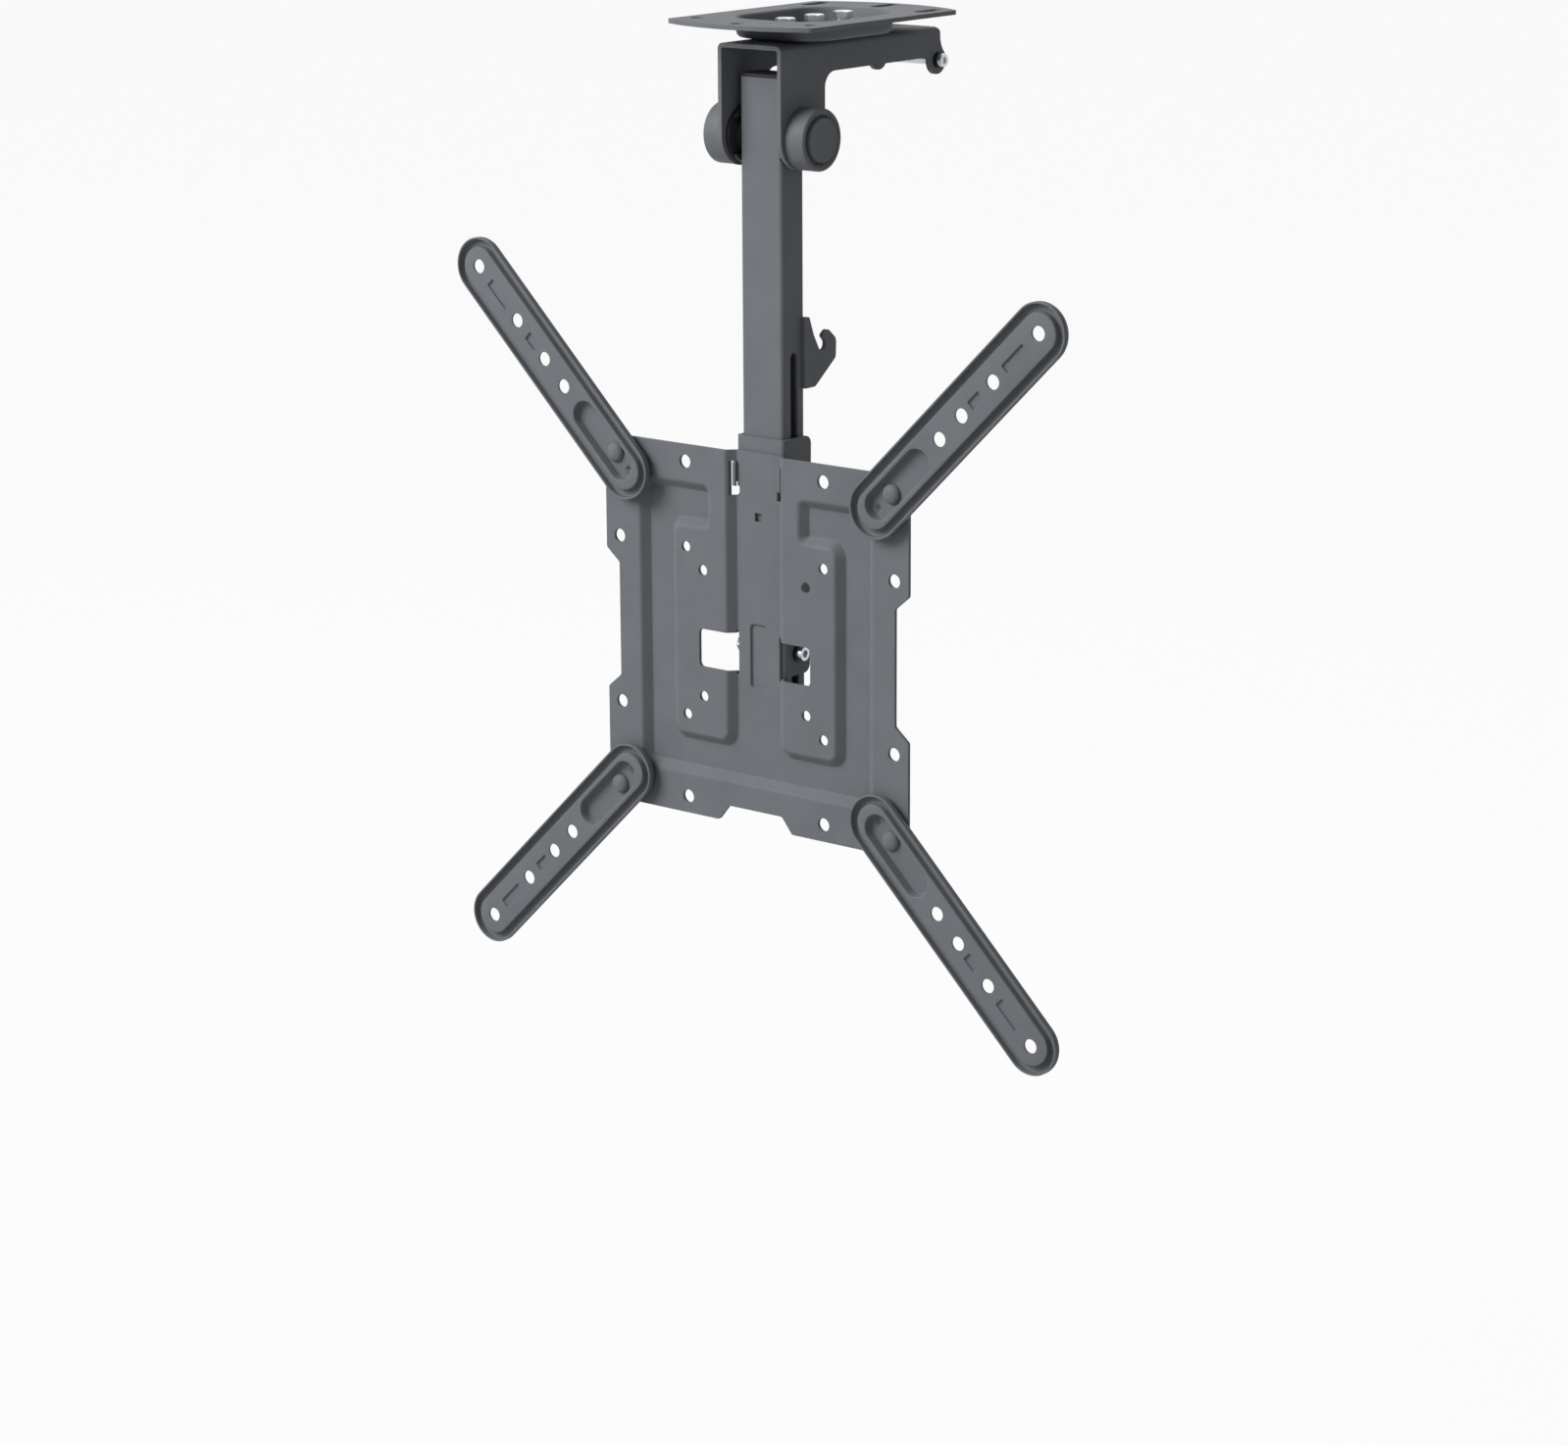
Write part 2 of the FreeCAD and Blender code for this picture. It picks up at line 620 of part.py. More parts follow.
def bracket():
    rear = CATCH_Y + LUG_R
    foot = PIVOT_Z - LEG_HALF
    low = foot - BEYOND
    outer, outer_radii = rectangle(-BRACKET_HALF_WIDTH, BRACKET_HALF_WIDTH, low, WEB_TOP)
    outer_radii[2] = outer_radii[3] = BRACKET_BEND
    inner, inner_radii = rectangle(-BRACKET_INNER, BRACKET_INNER, low - BEYOND, WEB_UNDER)
    inner_radii[2] = inner_radii[3] = BRACKET_BEND - BRACKET_SHEET
    folded = prism(outer, outer_radii, "xz", BRACKET_FRONT - BEYOND, rear + BEYOND)
    folded = folded.cut(prism(inner, inner_radii, "xz", BRACKET_FRONT - 2 * BEYOND, rear + 2 * BEYOND))
    points, radii = bracket_side()
    span = BRACKET_HALF_WIDTH + BEYOND
    solid = folded.common(prism(points, radii, "yz", -span, span))
    web_half = BRACKET_HALF_WIDTH - BRACKET_BEND
    web_end = rear - REAR_FLARE - WEB_SETBACK
    under, over = WEB_UNDER - BEYOND, WEB_TOP + BEYOND
    solid = solid.cut(box(-web_half, web_half, web_end, rear + BEYOND, under, over))
    for x in (-web_half, web_half):
        solid = solid.cut(rod("z", WEB_RELIEF_D, under, over, x, web_end))
    for y in swivel_places():
        solid = solid.cut(rod("z", SWIVEL_BOLT_D + 2 * BOLT_CLEARANCE, under, over, 0, y))
    solid = solid.cut(rod("x", PIVOT_BOLT_D + 2 * SHAFT_CLEARANCE, -span, span, PIVOT_Y, PIVOT_Z))
    solid = solid.cut(rod("x", CATCH_D + 2 * SHAFT_CLEARANCE, -span, span, CATCH_Y, CATCH_Z))
    return solid


def pivot_bolt():
    seat = BRACKET_HALF_WIDTH + PIVOT_RING_T
    head = hex_chamfered("x", PIVOT_HEAD_AF, seat, seat + PIVOT_HEAD_H, PIVOT_Y, PIVOT_Z, False, True)
    shank = rod("x", PIVOT_BOLT_D, -seat - PIVOT_NUT_H - PIVOT_THREAD_OUT, seat, PIVOT_Y, PIVOT_Z)
    return head.fuse(shank).removeSplitter()


def pivot_nut():
    seat = -BRACKET_HALF_WIDTH - PIVOT_RING_T
    end = seat - PIVOT_NUT_H
    nut = hex_chamfered("x", PIVOT_HEAD_AF, end, seat, PIVOT_Y, PIVOT_Z, True, True)
    return nut.cut(rod("x", PIVOT_BOLT_D + 2 * SHAFT_CLEARANCE, end, seat, PIVOT_Y, PIVOT_Z))


def pivot_rings():
    bore = PIVOT_BOLT_D + 2 * SHAFT_CLEARANCE
    seat = BRACKET_HALF_WIDTH
    right = ring("x", PIVOT_RING_D, bore, seat, seat + PIVOT_RING_T, PIVOT_Y, PIVOT_Z)
    left = ring("x", PIVOT_RING_D, bore, -seat - PIVOT_RING_T, -seat, PIVOT_Y, PIVOT_Z)
    return Part.makeCompound([right, left])


def mirrored(shape):
    return shape.mirror(V(0, 0, 0), V(1, 0, 0))


def cap_right():
    base = BRACKET_HALF_WIDTH
    face = base + CAP_DEPTH
    outer = CAP_D / 2
    bore = CAP_BORE_D / 2
    lip = PIVOT_RING_D / 2 + SHAFT_CLEARANCE
    return turned([
        (lip, base),
        (outer, base),
        (outer, face - CAP_BEVEL),
        (outer - CAP_BEVEL * 0.4, face - CAP_BEVEL * 0.35),
        (outer - CAP_BEVEL, face),
        (bore, face),
        (bore, base + PIVOT_RING_T),
        (lip, base + PIVOT_RING_T),
    ], "x", PIVOT_Y, PIVOT_Z)


def cap_disc_right():
    face = BRACKET_HALF_WIDTH + CAP_DEPTH
    seat = face - CAP_GROOVE
    out = face + CAP_DISC_OUT
    radius = CAP_DISC_D / 2
    flange = CAP_BORE_D / 2 - SHAFT_CLEARANCE
    soft = CAP_DISC_BEVEL
    return turned([
        (0, seat - CAP_DISC_FLANGE),
        (flange, seat - CAP_DISC_FLANGE),
        (flange, seat),
        (radius, seat),
        (radius, out - soft),
        (radius - soft * 0.3, out - soft * 0.3),
        (radius - soft, out),
        (0, out),
    ], "x", PIVOT_Y, PIVOT_Z)


def spacer_right():
    """Friction disc: a full disc on the leg's side, tabs above and below that reach the tube, and a boss."""
    inner = TUBE_SIDE + RUB_CLEARANCE
    outer = BRACKET_INNER
    step = inner + SPACER_TAB
    disc = rod("x", SPACER_D, inner, outer, PIVOT_Y, PIVOT_Z)
    window = box(inner - BEYOND, step, PIVOT_Y - SPACER_D, PIVOT_Y + SPACER_D,
                 PIVOT_Z - SPACER_WINDOW, PIVOT_Z + SPACER_WINDOW)
    boss = rod("x", SPACER_BOSS_D, inner, outer, PIVOT_Y, PIVOT_Z)
    disc = disc.cut(window).fuse(boss).removeSplitter()
    bore = PIVOT_BOLT_D + 2 * SHAFT_CLEARANCE
    return disc.cut(rod("x", bore, inner - BEYOND, outer + BEYOND, PIVOT_Y, PIVOT_Z))


def pivot_sleeve():
    half = TUBE_SIDE - TUBE_WALL
    bore = PIVOT_BOLT_D + 2 * SHAFT_CLEARANCE
    return ring("x", bore + 2 * SLEEVE_WALL, bore, -half, half, PIVOT_Y, PIVOT_Z)


def socket_screw(seat, end, shank_d, head_d, head_h, socket_across, y, z):
    """Screw along x with a round head on the right, whose rim is bevelled and whose socket is open."""
    face = seat + head_h
    radius = head_d / 2
    head = turned([
        (0, seat),
        (radius, seat),
        (radius, face - SCREW_BEVEL),
        (radius - SCREW_BEVEL, face),
        (0, face),
    ], "x", y, z)
    head = head.cut(hexagon("x", socket_across, face - head_h * SOCKET_SHARE, face + BEYOND, y, z))
    return head.fuse(rod("x", shank_d, end, seat, y, z)).removeSplitter()


def catch_bolt():
    seat = BRACKET_HALF_WIDTH + CATCH_RING_T
    end = -seat - CATCH_NUT_H - CATCH_THREAD_OUT
    return socket_screw(seat, end, CATCH_D, CATCH_HEAD_D, CATCH_HEAD_H, CATCH_SOCKET_AF, CATCH_Y, CATCH_Z)


def catch_rings():
    seat = BRACKET_HALF_WIDTH
    bore = CATCH_D + 2 * SHAFT_CLEARANCE
    right = ring("x", CATCH_RING_D, bore, seat, seat + CATCH_RING_T, CATCH_Y, CATCH_Z)
    left = ring("x", CATCH_RING_D, bore, -seat - CATCH_RING_T, -seat, CATCH_Y, CATCH_Z)
    return Part.makeCompound([right, left])


def catch_nut():
    seat = -BRACKET_HALF_WIDTH - CATCH_RING_T
    end = seat - CATCH_NUT_H
    nut = hex_chamfered("x", CATCH_NUT_AF, end, seat, CATCH_Y, CATCH_Z, True, True)
    return nut.cut(rod("x", CATCH_D + 2 * SHAFT_CLEARANCE, end, seat, CATCH_Y, CATCH_Z))


def fold_tube():
    top = TUBE_TOP - PLUG_FLANGE
    bottom = TUBE_BOTTOM + PLUG_FLANGE
    outer, outer_radii = rectangle(-TUBE_SIDE, TUBE_SIDE, TUBE_FRONT, TUBE_REAR, TUBE_CORNER)
    inner, inner_radii = rectangle(-TUBE_SIDE + TUBE_WALL, TUBE_SIDE - TUBE_WALL,
                                   TUBE_FRONT + TUBE_WALL, TUBE_REAR - TUBE_WALL,
                                   TUBE_CORNER - TUBE_WALL)
    tube = prism(outer, outer_radii, "xy", bottom, top)
    tube = tube.cut(prism(inner, inner_radii, "xy", bottom - BEYOND, top + BEYOND))
    side = TUBE_SIDE + BEYOND
    half = TUBE_SLOT_WIDTH / 2
    slot, slot_radii = rectangle(PIVOT_Y - half, PIVOT_Y + half,
                                 TUBE_BOTTOM + TUBE_SLOT_BOTTOM, PIVOT_Z - TUBE_SLOT_TOP, half)
    tube = tube.cut(prism(slot, slot_radii, "yz", -side, side))
    return tube.cut(rod("x", PIVOT_BOLT_D + 2 * SHAFT_CLEARANCE, -side, side, PIVOT_Y, PIVOT_Z))


def tube_plug(end, inward):
    """Plastic plug whose flange covers the tube's end; inward is -1 at the top end and 1 at the bottom."""
    seat = end + inward * PLUG_FLANGE
    tip = seat + inward * PLUG_DEPTH
    outer, outer_radii = rectangle(-TUBE_SIDE, TUBE_SIDE, TUBE_FRONT, TUBE_REAR, TUBE_CORNER)
    flange = prism(outer, outer_radii, "xy", min(end, seat), max(end, seat))
    inset = TUBE_WALL + PLUG_FIT
    spigot, spigot_radii = rectangle(-TUBE_SIDE + inset, TUBE_SIDE - inset,
                                     TUBE_FRONT + inset, TUBE_REAR - inset, TUBE_CORNER - TUBE_WALL)
    hollow, hollow_radii = rectangle(-TUBE_SIDE + inset + PLUG_WALL, TUBE_SIDE - inset - PLUG_WALL,
                                     TUBE_FRONT + inset + PLUG_WALL, TUBE_REAR - inset - PLUG_WALL,
                                     TUBE_CORNER - TUBE_WALL)
    low, high = sorted((seat, tip))
    skirt = prism(spigot, spigot_radii, "xy", low, high)
    skirt = skirt.cut(prism(hollow, hollow_radii, "xy", low - BEYOND, high + BEYOND))
    return flange.fuse(skirt).removeSplitter()


def catch_hook():
    """Cut plate lapped on the tube's right side: its throat opens upwards and to the rear of the tube."""
    top = PIVOT_Z - HOOK_TOP_DROP
    corners = [
        (-HOOK_LAP, 0, 0.8),
        (HOOK_NECK_OUT, 0.4, 1.2),
        (HOOK_WAIST_OUT, HOOK_WAIST_DROP, 8.0),
        (HOOK_THROAT_OUT, HOOK_THROAT_DROP, HOOK_THROAT_R),
        (HOOK_SEAT_OUT, HOOK_SEAT_DROP, HOOK_THROAT_R),
        (HOOK_TOOTH_OUT, HOOK_TOOTH_DROP, 1.4),
        (HOOK_CROWN_OUT, HOOK_CROWN_DROP, 3.2),
        (HOOK_REACH, HOOK_SHOULDER, 5.0),
        (HOOK_REACH - HOOK_HEEL_IN, HOOK_HEEL, 3.0),
        (HOOK_FOOT_OUT, HOOK_HEIGHT, 4.0),
        (-HOOK_LAP, HOOK_HEIGHT, 0.8),
    ]
    points = [(TUBE_REAR + out, top - drop) for out, drop, r in corners]
    radii = [r for out, drop, r in corners]
    return prism(points, radii, "yz", TUBE_SIDE, TUBE_SIDE + HOOK_SHEET)


def carriage():
    outer, outer_radii = rectangle(-CARRIAGE_OUTER, CARRIAGE_OUTER, CARRIAGE_FRONT, CARRIAGE_REAR)
    outer_radii[0] = outer_radii[1] = CARRIAGE_BEND
    inner, inner_radii = rectangle(-CARRIAGE_INNER, CARRIAGE_INNER,
                                   CARRIAGE_FRONT + CARRIAGE_SHEET, CARRIAGE_REAR + BEYOND)
    inner_radii[0] = inner_radii[1] = CARRIAGE_BEND - CARRIAGE_SHEET
    channel = prism(outer, outer_radii, "xy", CARRIAGE_FOOT, CARRIAGE_TOP)
    channel = channel.cut(prism(inner, inner_radii, "xy", CARRIAGE_FOOT - BEYOND, CARRIAGE_TOP + BEYOND))
    side, side_radii = rectangle(CARRIAGE_FRONT - BEYOND, CARRIAGE_REAR, CARRIAGE_FOOT, CARRIAGE_TOP)
    side[1] = (CARRIAGE_REAR - CARRIAGE_TAPER, CARRIAGE_FOOT)
    side_radii[1] = side_radii[2] = CARRIAGE_CORNER
    span = CARRIAGE_OUTER + BEYOND
    channel = channel.common(prism(side, side_radii, "yz", -span, span))
    for x in (-1, 1):
        channel = channel.fuse(hook_tab(x)).cut(tab_relief(x))
    channel = channel.removeSplitter()
    half = KEY_HALF_WIDTH + KEY_WINDOW_CLEARANCE
    front = CARRIAGE_FRONT - BEYOND
    rear = CARRIAGE_FRONT + CARRIAGE_SHEET + SLIDE_CLEARANCE / 2
    top = PLATE_Z + KEY_TOP + KEY_WINDOW_CLEARANCE
    channel = channel.cut(box(-half, half, front, rear, CARRIAGE_FOOT - BEYOND, top))
    for z in CLAMP_HEIGHTS:
        channel = channel.cut(rod("x", CLAMP_BOLT_D + 2 * SHAFT_CLEARANCE, -span, span, PIVOT_Y, z))
    return channel


def hook_tab(side):
    """Tab that runs forward from a side wall through the plate's slot, with a lip that points down."""
    front = PLATE_FRONT + TAB_FRONT
    lip_rear = front + TAB_LIP_DEPTH
    root = CARRIAGE_FRONT + CARRIAGE_BEND
    corners = [
        (root, PLATE_Z + TAB_TOP, 0),
        (front, PLATE_Z + TAB_TOP, TAB_NOSE_R),
        (front, PLATE_Z + TAB_LIP, TAB_LIP_R),
        (lip_rear, PLATE_Z + TAB_LIP, TAB_LIP_R),
        (lip_rear, PLATE_Z + TAB_FOOT, TAB_LIP_R),
        (root, PLATE_Z + TAB_FOOT, 0),
    ]
    points = [(y, z) for y, z, r in corners]
    radii = [r for y, z, r in corners]
    low, high = sorted((side * CARRIAGE_INNER, side * CARRIAGE_OUTER))
    return prism(points, radii, "yz", low, high)


def tab_relief(side):
    """Cut through the channel's bend below a tab, as wide as the foot of the plate's slot."""
    low, high = sorted((side * (TAB_SLOT_INNER - RELIEF_WIDEN), side * (CARRIAGE_OUTER + BEYOND)))
    return box(low, high, CARRIAGE_FRONT - BEYOND, CARRIAGE_FRONT + RELIEF_DEPTH,
               PLATE_Z + HOOK_SLOT_BOTTOM, PLATE_Z + TAB_LIP)


def clamp_bolts():
    seat = CARRIAGE_OUTER + CLAMP_RING_T
    end = -seat - CLAMP_NUT_H - CLAMP_THREAD_OUT
    screws = []
    for z in CLAMP_HEIGHTS:
        screws.append(socket_screw(seat, end, CLAMP_BOLT_D, CLAMP_HEAD_D, CLAMP_HEAD_H,
                                   CLAMP_SOCKET_AF, PIVOT_Y, z))
    return Part.makeCompound(screws)


def clamp_rings():
    bore = CLAMP_BOLT_D + 2 * SHAFT_CLEARANCE
    seat = CARRIAGE_OUTER
    solids = []
    for z in CLAMP_HEIGHTS:
        solids.append(ring("x", CLAMP_RING_D, bore, seat, seat + CLAMP_RING_T, PIVOT_Y, z))
        solids.append(ring("x", CLAMP_RING_D, bore, -seat - CLAMP_RING_T, -seat, PIVOT_Y, z))
    return Part.makeCompound(solids)


def clamp_nuts():
    seat = -CARRIAGE_OUTER - CLAMP_RING_T
    end = seat - CLAMP_NUT_H
    bore = CLAMP_BOLT_D + 2 * SHAFT_CLEARANCE
    solids = []
    for z in CLAMP_HEIGHTS:
        nut = hex_chamfered("x", CLAMP_NUT_AF, end, seat, PIVOT_Y, z, True, True)
        solids.append(nut.cut(rod("x", bore, end, seat, PIVOT_Y, z)))
    return Part.makeCompound(solids)


def about_plate(corners):
    """Corners given from the plate's centre, as points of the part and radii."""
    return [(x, PLATE_Z + z) for x, z, r in corners], [r for x, z, r in corners]


def plate_outline():
    """Edge of the plate, counter-clockwise from the bottom left corner."""
    edge = PLATE_HALF
    inner = PLATE_HALF - PLATE_INSET
    run = SIDE_INSET_HALF + SIDE_INSET_RUN
    round_off = PLATE_CORNER
    right = [
        (NOTCH_HALF + NOTCH_RUN, -edge, round_off),
        (edge, -edge, round_off),
        (edge, -run, round_off),
        (inner, -SIDE_INSET_HALF, round_off),
        (inner, SIDE_INSET_HALF, round_off),
        (edge, run, round_off),
        (edge, edge, round_off),
    ]
    left = [(-x, z, r) for x, z, r in reversed(right)]
    notch = [(-NOTCH_HALF, -inner, round_off), (NOTCH_HALF, -inner, round_off)]
    return about_plate(notch + right + left)


def field_outline():
    """Front edge of the recessed field: it passes round both pads and leaves through the top edge."""
    beyond = PLATE_HALF + FIELD_CORNER
    right = [
        (FIELD_HALF_WIDTH, -FIELD_BOTTOM, FIELD_CORNER),
        (FIELD_HALF_WIDTH, FIELD_TOP, FIELD_CORNER),
        (NECK_OUTER, FIELD_TOP, PAD_CORNER),
        (NECK_OUTER, PAD_TOP, PAD_CORNER),
        (PAD_OUTER, PAD_TOP, PAD_CORNER),
        (PAD_OUTER, -PAD_BOTTOM, PAD_CORNER),
        (PAD_INNER, -PAD_BOTTOM, PAD_CORNER),
        (PAD_INNER, beyond, 0),
    ]
    left = [(-x, z, r) for x, z, r in reversed(right)]
    return about_plate(right + left)


def on_level(point, level):
    return abs(point.y - level) < 1e-4


def on_field_rim(point):
    """Whether a point lies on the front edge of the recessed field."""
    z = point.z - PLATE_Z
    beside_channel = abs(abs(point.x) - PAD_INNER) < 1e-3
    within = abs(point.x) < FIELD_HALF_WIDTH + 1e-3 and -FIELD_BOTTOM - 1e-3 < z < FIELD_TOP + 1e-3
    return on_level(point, PLATE_FRONT) and (beside_channel or within)


def vesa_plate():
    edge, edge_radii = plate_outline()
    field, field_radii = field_outline()
    slope = FIELD_DRAFT / FIELD_DEPTH
    wall = PLATE_SHEET * math.sqrt(1 + slope * slope)
    rear_face = FIELD_FACE + PLATE_SHEET
    pocket = drafted(field, field_radii, "xz", PLATE_FRONT - OVERCUT, -slope * OVERCUT,
                     FIELD_FACE, FIELD_DRAFT)
    pocket = pocket.makeFillet(PLATE_BEND, edges_where(pocket, lambda p: on_level(p, FIELD_FACE)))
    start = PLATE_FRONT + PLATE_SHEET / 2
    under = drafted(field, field_radii, "xz", start, slope * PLATE_SHEET / 2 - wall,
                    rear_face, slope * (FIELD_DEPTH + PLATE_SHEET) - wall)
    outer_bend = PLATE_BEND + PLATE_SHEET
    under = under.makeFillet(outer_bend, edges_where(under, lambda p: on_level(p, rear_face)))
    slab = prism(edge, edge_radii, "xz", PLATE_FRONT, PLATE_REAR)
    under = under.common(prism(edge, edge_radii, "xz", PLATE_FRONT, rear_face + BEYOND))
    plate = slab.fuse(under).cut(pocket).removeSplitter()
    plate = plate.makeFillet(outer_bend, edges_where(plate, on_field_rim))
    plate = with_key(plate)
    for sx in (-1, 1):
        plate = plate.cut(side_window(sx)).cut(hook_slot(sx))
    front, rear = PLATE_FRONT - BEYOND, PLATE_REAR + BEYOND
    for x, z in plate_holes():
        diameter = PAD_HOLE_D if max(abs(x), abs(z)) < VESA_200 / 2 else BORDER_HOLE_D
        plate = plate.cut(rod("y", diameter, front, rear, x, PLATE_Z + z))
    for x in (-RIVET_AT, RIVET_AT):
        for z in (-RIVET_AT, RIVET_AT):
            plate = plate.cut(rod("y", RIVET_D + 2 * RIVET_PLATE_FIT, front, rear, x, PLATE_Z + z))
    half = SQUARE_SIZE / 2
    middle = PLATE_Z + SQUARE_HEIGHT
    return plate.cut(box(-half, half, front, rear_face + BEYOND, middle - half, middle + half))


def with_key(plate):
    """The oblong pressed into the channel's floor, which keys the plate into the carriage's window."""
    points, radii = rectangle(-KEY_HALF_WIDTH, KEY_HALF_WIDTH,
                              PLATE_Z - KEY_BOTTOM, PLATE_Z + KEY_TOP, KEY_CORNER)
    rear_face = FIELD_FACE + PLATE_SHEET
    bump = drafted(points, radii, "xz", rear_face - PLATE_SHEET / 2, 0, rear_face + KEY_DEPTH, KEY_DRAFT)
    pocket = drafted(points, radii, "xz", FIELD_FACE - OVERCUT, 0, FIELD_FACE + KEY_DEPTH, KEY_DRAFT)
    return plate.fuse(bump).cut(pocket).removeSplitter()


def side_window(side):
    """Window through pad, channel wall and floor edge, with a relief nick at each inner corner."""
    low, high = sorted((side * WINDOW_INNER, side * WINDOW_OUTER))
    points, radii = rectangle(low, high, PLATE_Z - WINDOW_BOTTOM, PLATE_Z + WINDOW_TOP)
    outer = (1, 2) if side > 0 else (0, 3)
    for i in outer:
        radii[i] = WINDOW_CORNER
    front = PLATE_FRONT - BEYOND
    rear = FIELD_FACE + PLATE_SHEET + BEYOND
    window = prism(points, radii, "xz", front, rear)
    a, b = sorted((side * WINDOW_INNER, side * (WINDOW_INNER + NICK)))
    nick = box(a, b, front, rear, PLATE_Z - WINDOW_BOTTOM - NICK, PLATE_Z + WINDOW_TOP + NICK)
    return window.fuse(nick)


def hook_slot(side):
    """Slot in the channel's side wall for the carriage's tab, wider below the tab."""
    front = PLATE_FRONT - BEYOND
    rear = FIELD_FACE + PLATE_SHEET + BEYOND
    foot = PLATE_Z + HOOK_SLOT_BOTTOM
    a, b = sorted((side * TAB_SLOT_INNER, side * TAB_SLOT_OUTER))
    narrow = box(a, b, front, rear, foot, PLATE_Z + HOOK_SLOT_TOP)
    a, b = sorted((side * (TAB_SLOT_INNER - RELIEF_WIDEN), side * TAB_SLOT_OUTER))
    wide = box(a, b, front, rear, foot, PLATE_Z + TAB_LIP)
    return narrow.fuse(wide)


def plate_holes():
    """Hole centres from the plate's centre: the 200 x 100 and 100 x 200 border, 100 and 75 pads."""
    places = []
    for half_x, half_z in ((VESA_200 / 2, VESA_100 / 2), (VESA_100 / 2, VESA_200 / 2),
                           (VESA_100 / 2, VESA_100 / 2), (VESA_75 / 2, VESA_75 / 2)):
        for sx in (-1, 1):
            for sz in (-1, 1):
                places.append((sx * half_x, sz * half_z))
    return places


def arm_shell():
    """The arm's rolled rim with its flange, and the floor inside it with the pocket in front."""
    end = ARM_END
    crest = -ARM_CREST
    floor_front = -ARM_FLOOR
    body = prism(*stadium(-ARM_TAIL, end, ARM_HALF_WIDTH), "xz", crest, -ARM_FLANGE_FOOT)
    body = body.makeFillet(ARM_BEND, edges_where(body, lambda p: on_level(p, crest)))
    hollow = prism(*stadium(-ARM_TAIL, end, ARM_HALF_WIDTH - ARM_SHEET), "xz", crest + ARM_SHEET, BEYOND)
    shell = body.cut(hollow)
    slope = (ARM_CREST_HALF - ARM_FLOOR_HALF) / (ARM_CREST - ARM_FLOOR)
    wall = ARM_SHEET * math.sqrt(1 + slope * slope)
    points, radii = stadium(-ARM_TAIL, end, ARM_CREST_HALF)
    pocket = drafted(points, radii, "xz", crest - OVERCUT, -slope * OVERCUT,
                     floor_front, ARM_CREST_HALF - ARM_FLOOR_HALF)
    pocket = pocket.makeFillet(ARM_INNER_BEND, edges_where(pocket, lambda p: on_level(p, floor_front)))
    start = crest + ARM_SHEET / 2
    under = drafted(points, radii, "xz", start, slope * ARM_SHEET / 2 - wall,
                    floor_front + ARM_SHEET, slope * (ARM_CREST - ARM_FLOOR + ARM_SHEET) - wall)
    shell = shell.fuse(under).cut(pocket).removeSplitter()
    inner_crest = edges_where(shell, lambda p: on_level(p, crest) and abs(p.z) < ARM_CREST_HALF + 1e-3)
    return shell.makeFillet(ARM_INNER_BEND, inner_crest)


def with_pan(arm):
    """The pan round the rivet, which reaches back to the plate."""
    front = -ARM_FLOOR
    floor = -ARM_SHEET
    slope = (PAN_HALF - PAN_FLOOR_HALF) / (ARM_FLOOR - ARM_SHEET)
    wall = ARM_SHEET * math.sqrt(1 + slope * slope)
    points, radii = stadium(-PAN_TAIL, PAN_REACH, PAN_HALF)
    pan = drafted(points, radii, "xz", front - OVERCUT, -slope * OVERCUT, floor, PAN_HALF - PAN_FLOOR_HALF)
    pan = pan.makeFillet(PAN_BEND, edges_where(pan, lambda p: on_level(p, floor)))
    under = drafted(points, radii, "xz", front + ARM_SHEET / 2, slope * ARM_SHEET / 2 - wall,
                    0, slope * ARM_FLOOR - wall)
    under = under.makeFillet(PAN_BEND, edges_where(under, lambda p: on_level(p, 0)))
    arm = arm.fuse(under).cut(pan).removeSplitter()
    rim = edges_where(arm, lambda p: on_level(p, front) and abs(p.z) < PAN_HALF + 1e-3)
    return arm.makeFillet(PAN_BEND, rim)


def arm_blank():
    """One arm in its own frame: rivet axis at the origin, outwards along +X, rear contact face at y = 0."""
    arm = with_pan(arm_shell())
    low = -ARM_CREST - BEYOND
    for reach in ARM_REACHES:
        arm = arm.cut(rod("y", ARM_HOLE_D, low, BEYOND, reach, 0))
    arm = arm.cut(rod("y", RIVET_D + 2 * SHAFT_CLEARANCE, low, BEYOND, 0, 0))
    for length, at in ((LONG_MARK, LONG_MARK_AT), (SHORT_MARK, SHORT_MARK_AT)):
        arm = with_mark(arm, length, at)
    half = DETENT / 2
    floor = -ARM_SHEET
    detent = box(-DETENT_AT - half, -DETENT_AT + half, floor - BEYOND, floor + DETENT_DEPTH, -half, half)
    return arm.cut(detent)


def with_mark(arm, length, at):
    """A shallow rectangle pressed into the arm's floor, with its bump behind."""
    half = MARK_WIDTH / 2
    points, radii = rectangle(at - length / 2, at + length / 2, -half, half, MARK_CORNER)
    front = -ARM_FLOOR
    rear = front + ARM_SHEET
    bump = prism(points, radii, "xz", rear - ARM_SHEET / 2, rear + ARM_MARK_DEPTH)
    hollow = prism(points, radii, "xz", front - OVERCUT, front + ARM_MARK_DEPTH)
    return arm.fuse(bump).cut(hollow).removeSplitter()


def placed_arm(blank, side_x, side_z):
    arm = blank.copy()
    arm.rotate(V(0, 0, 0), V(0, 1, 0), -math.degrees(math.atan2(side_z, side_x)))
    arm.translate(V(side_x * RIVET_AT, ARM_REAR, PLATE_Z + side_z * RIVET_AT))
    return arm


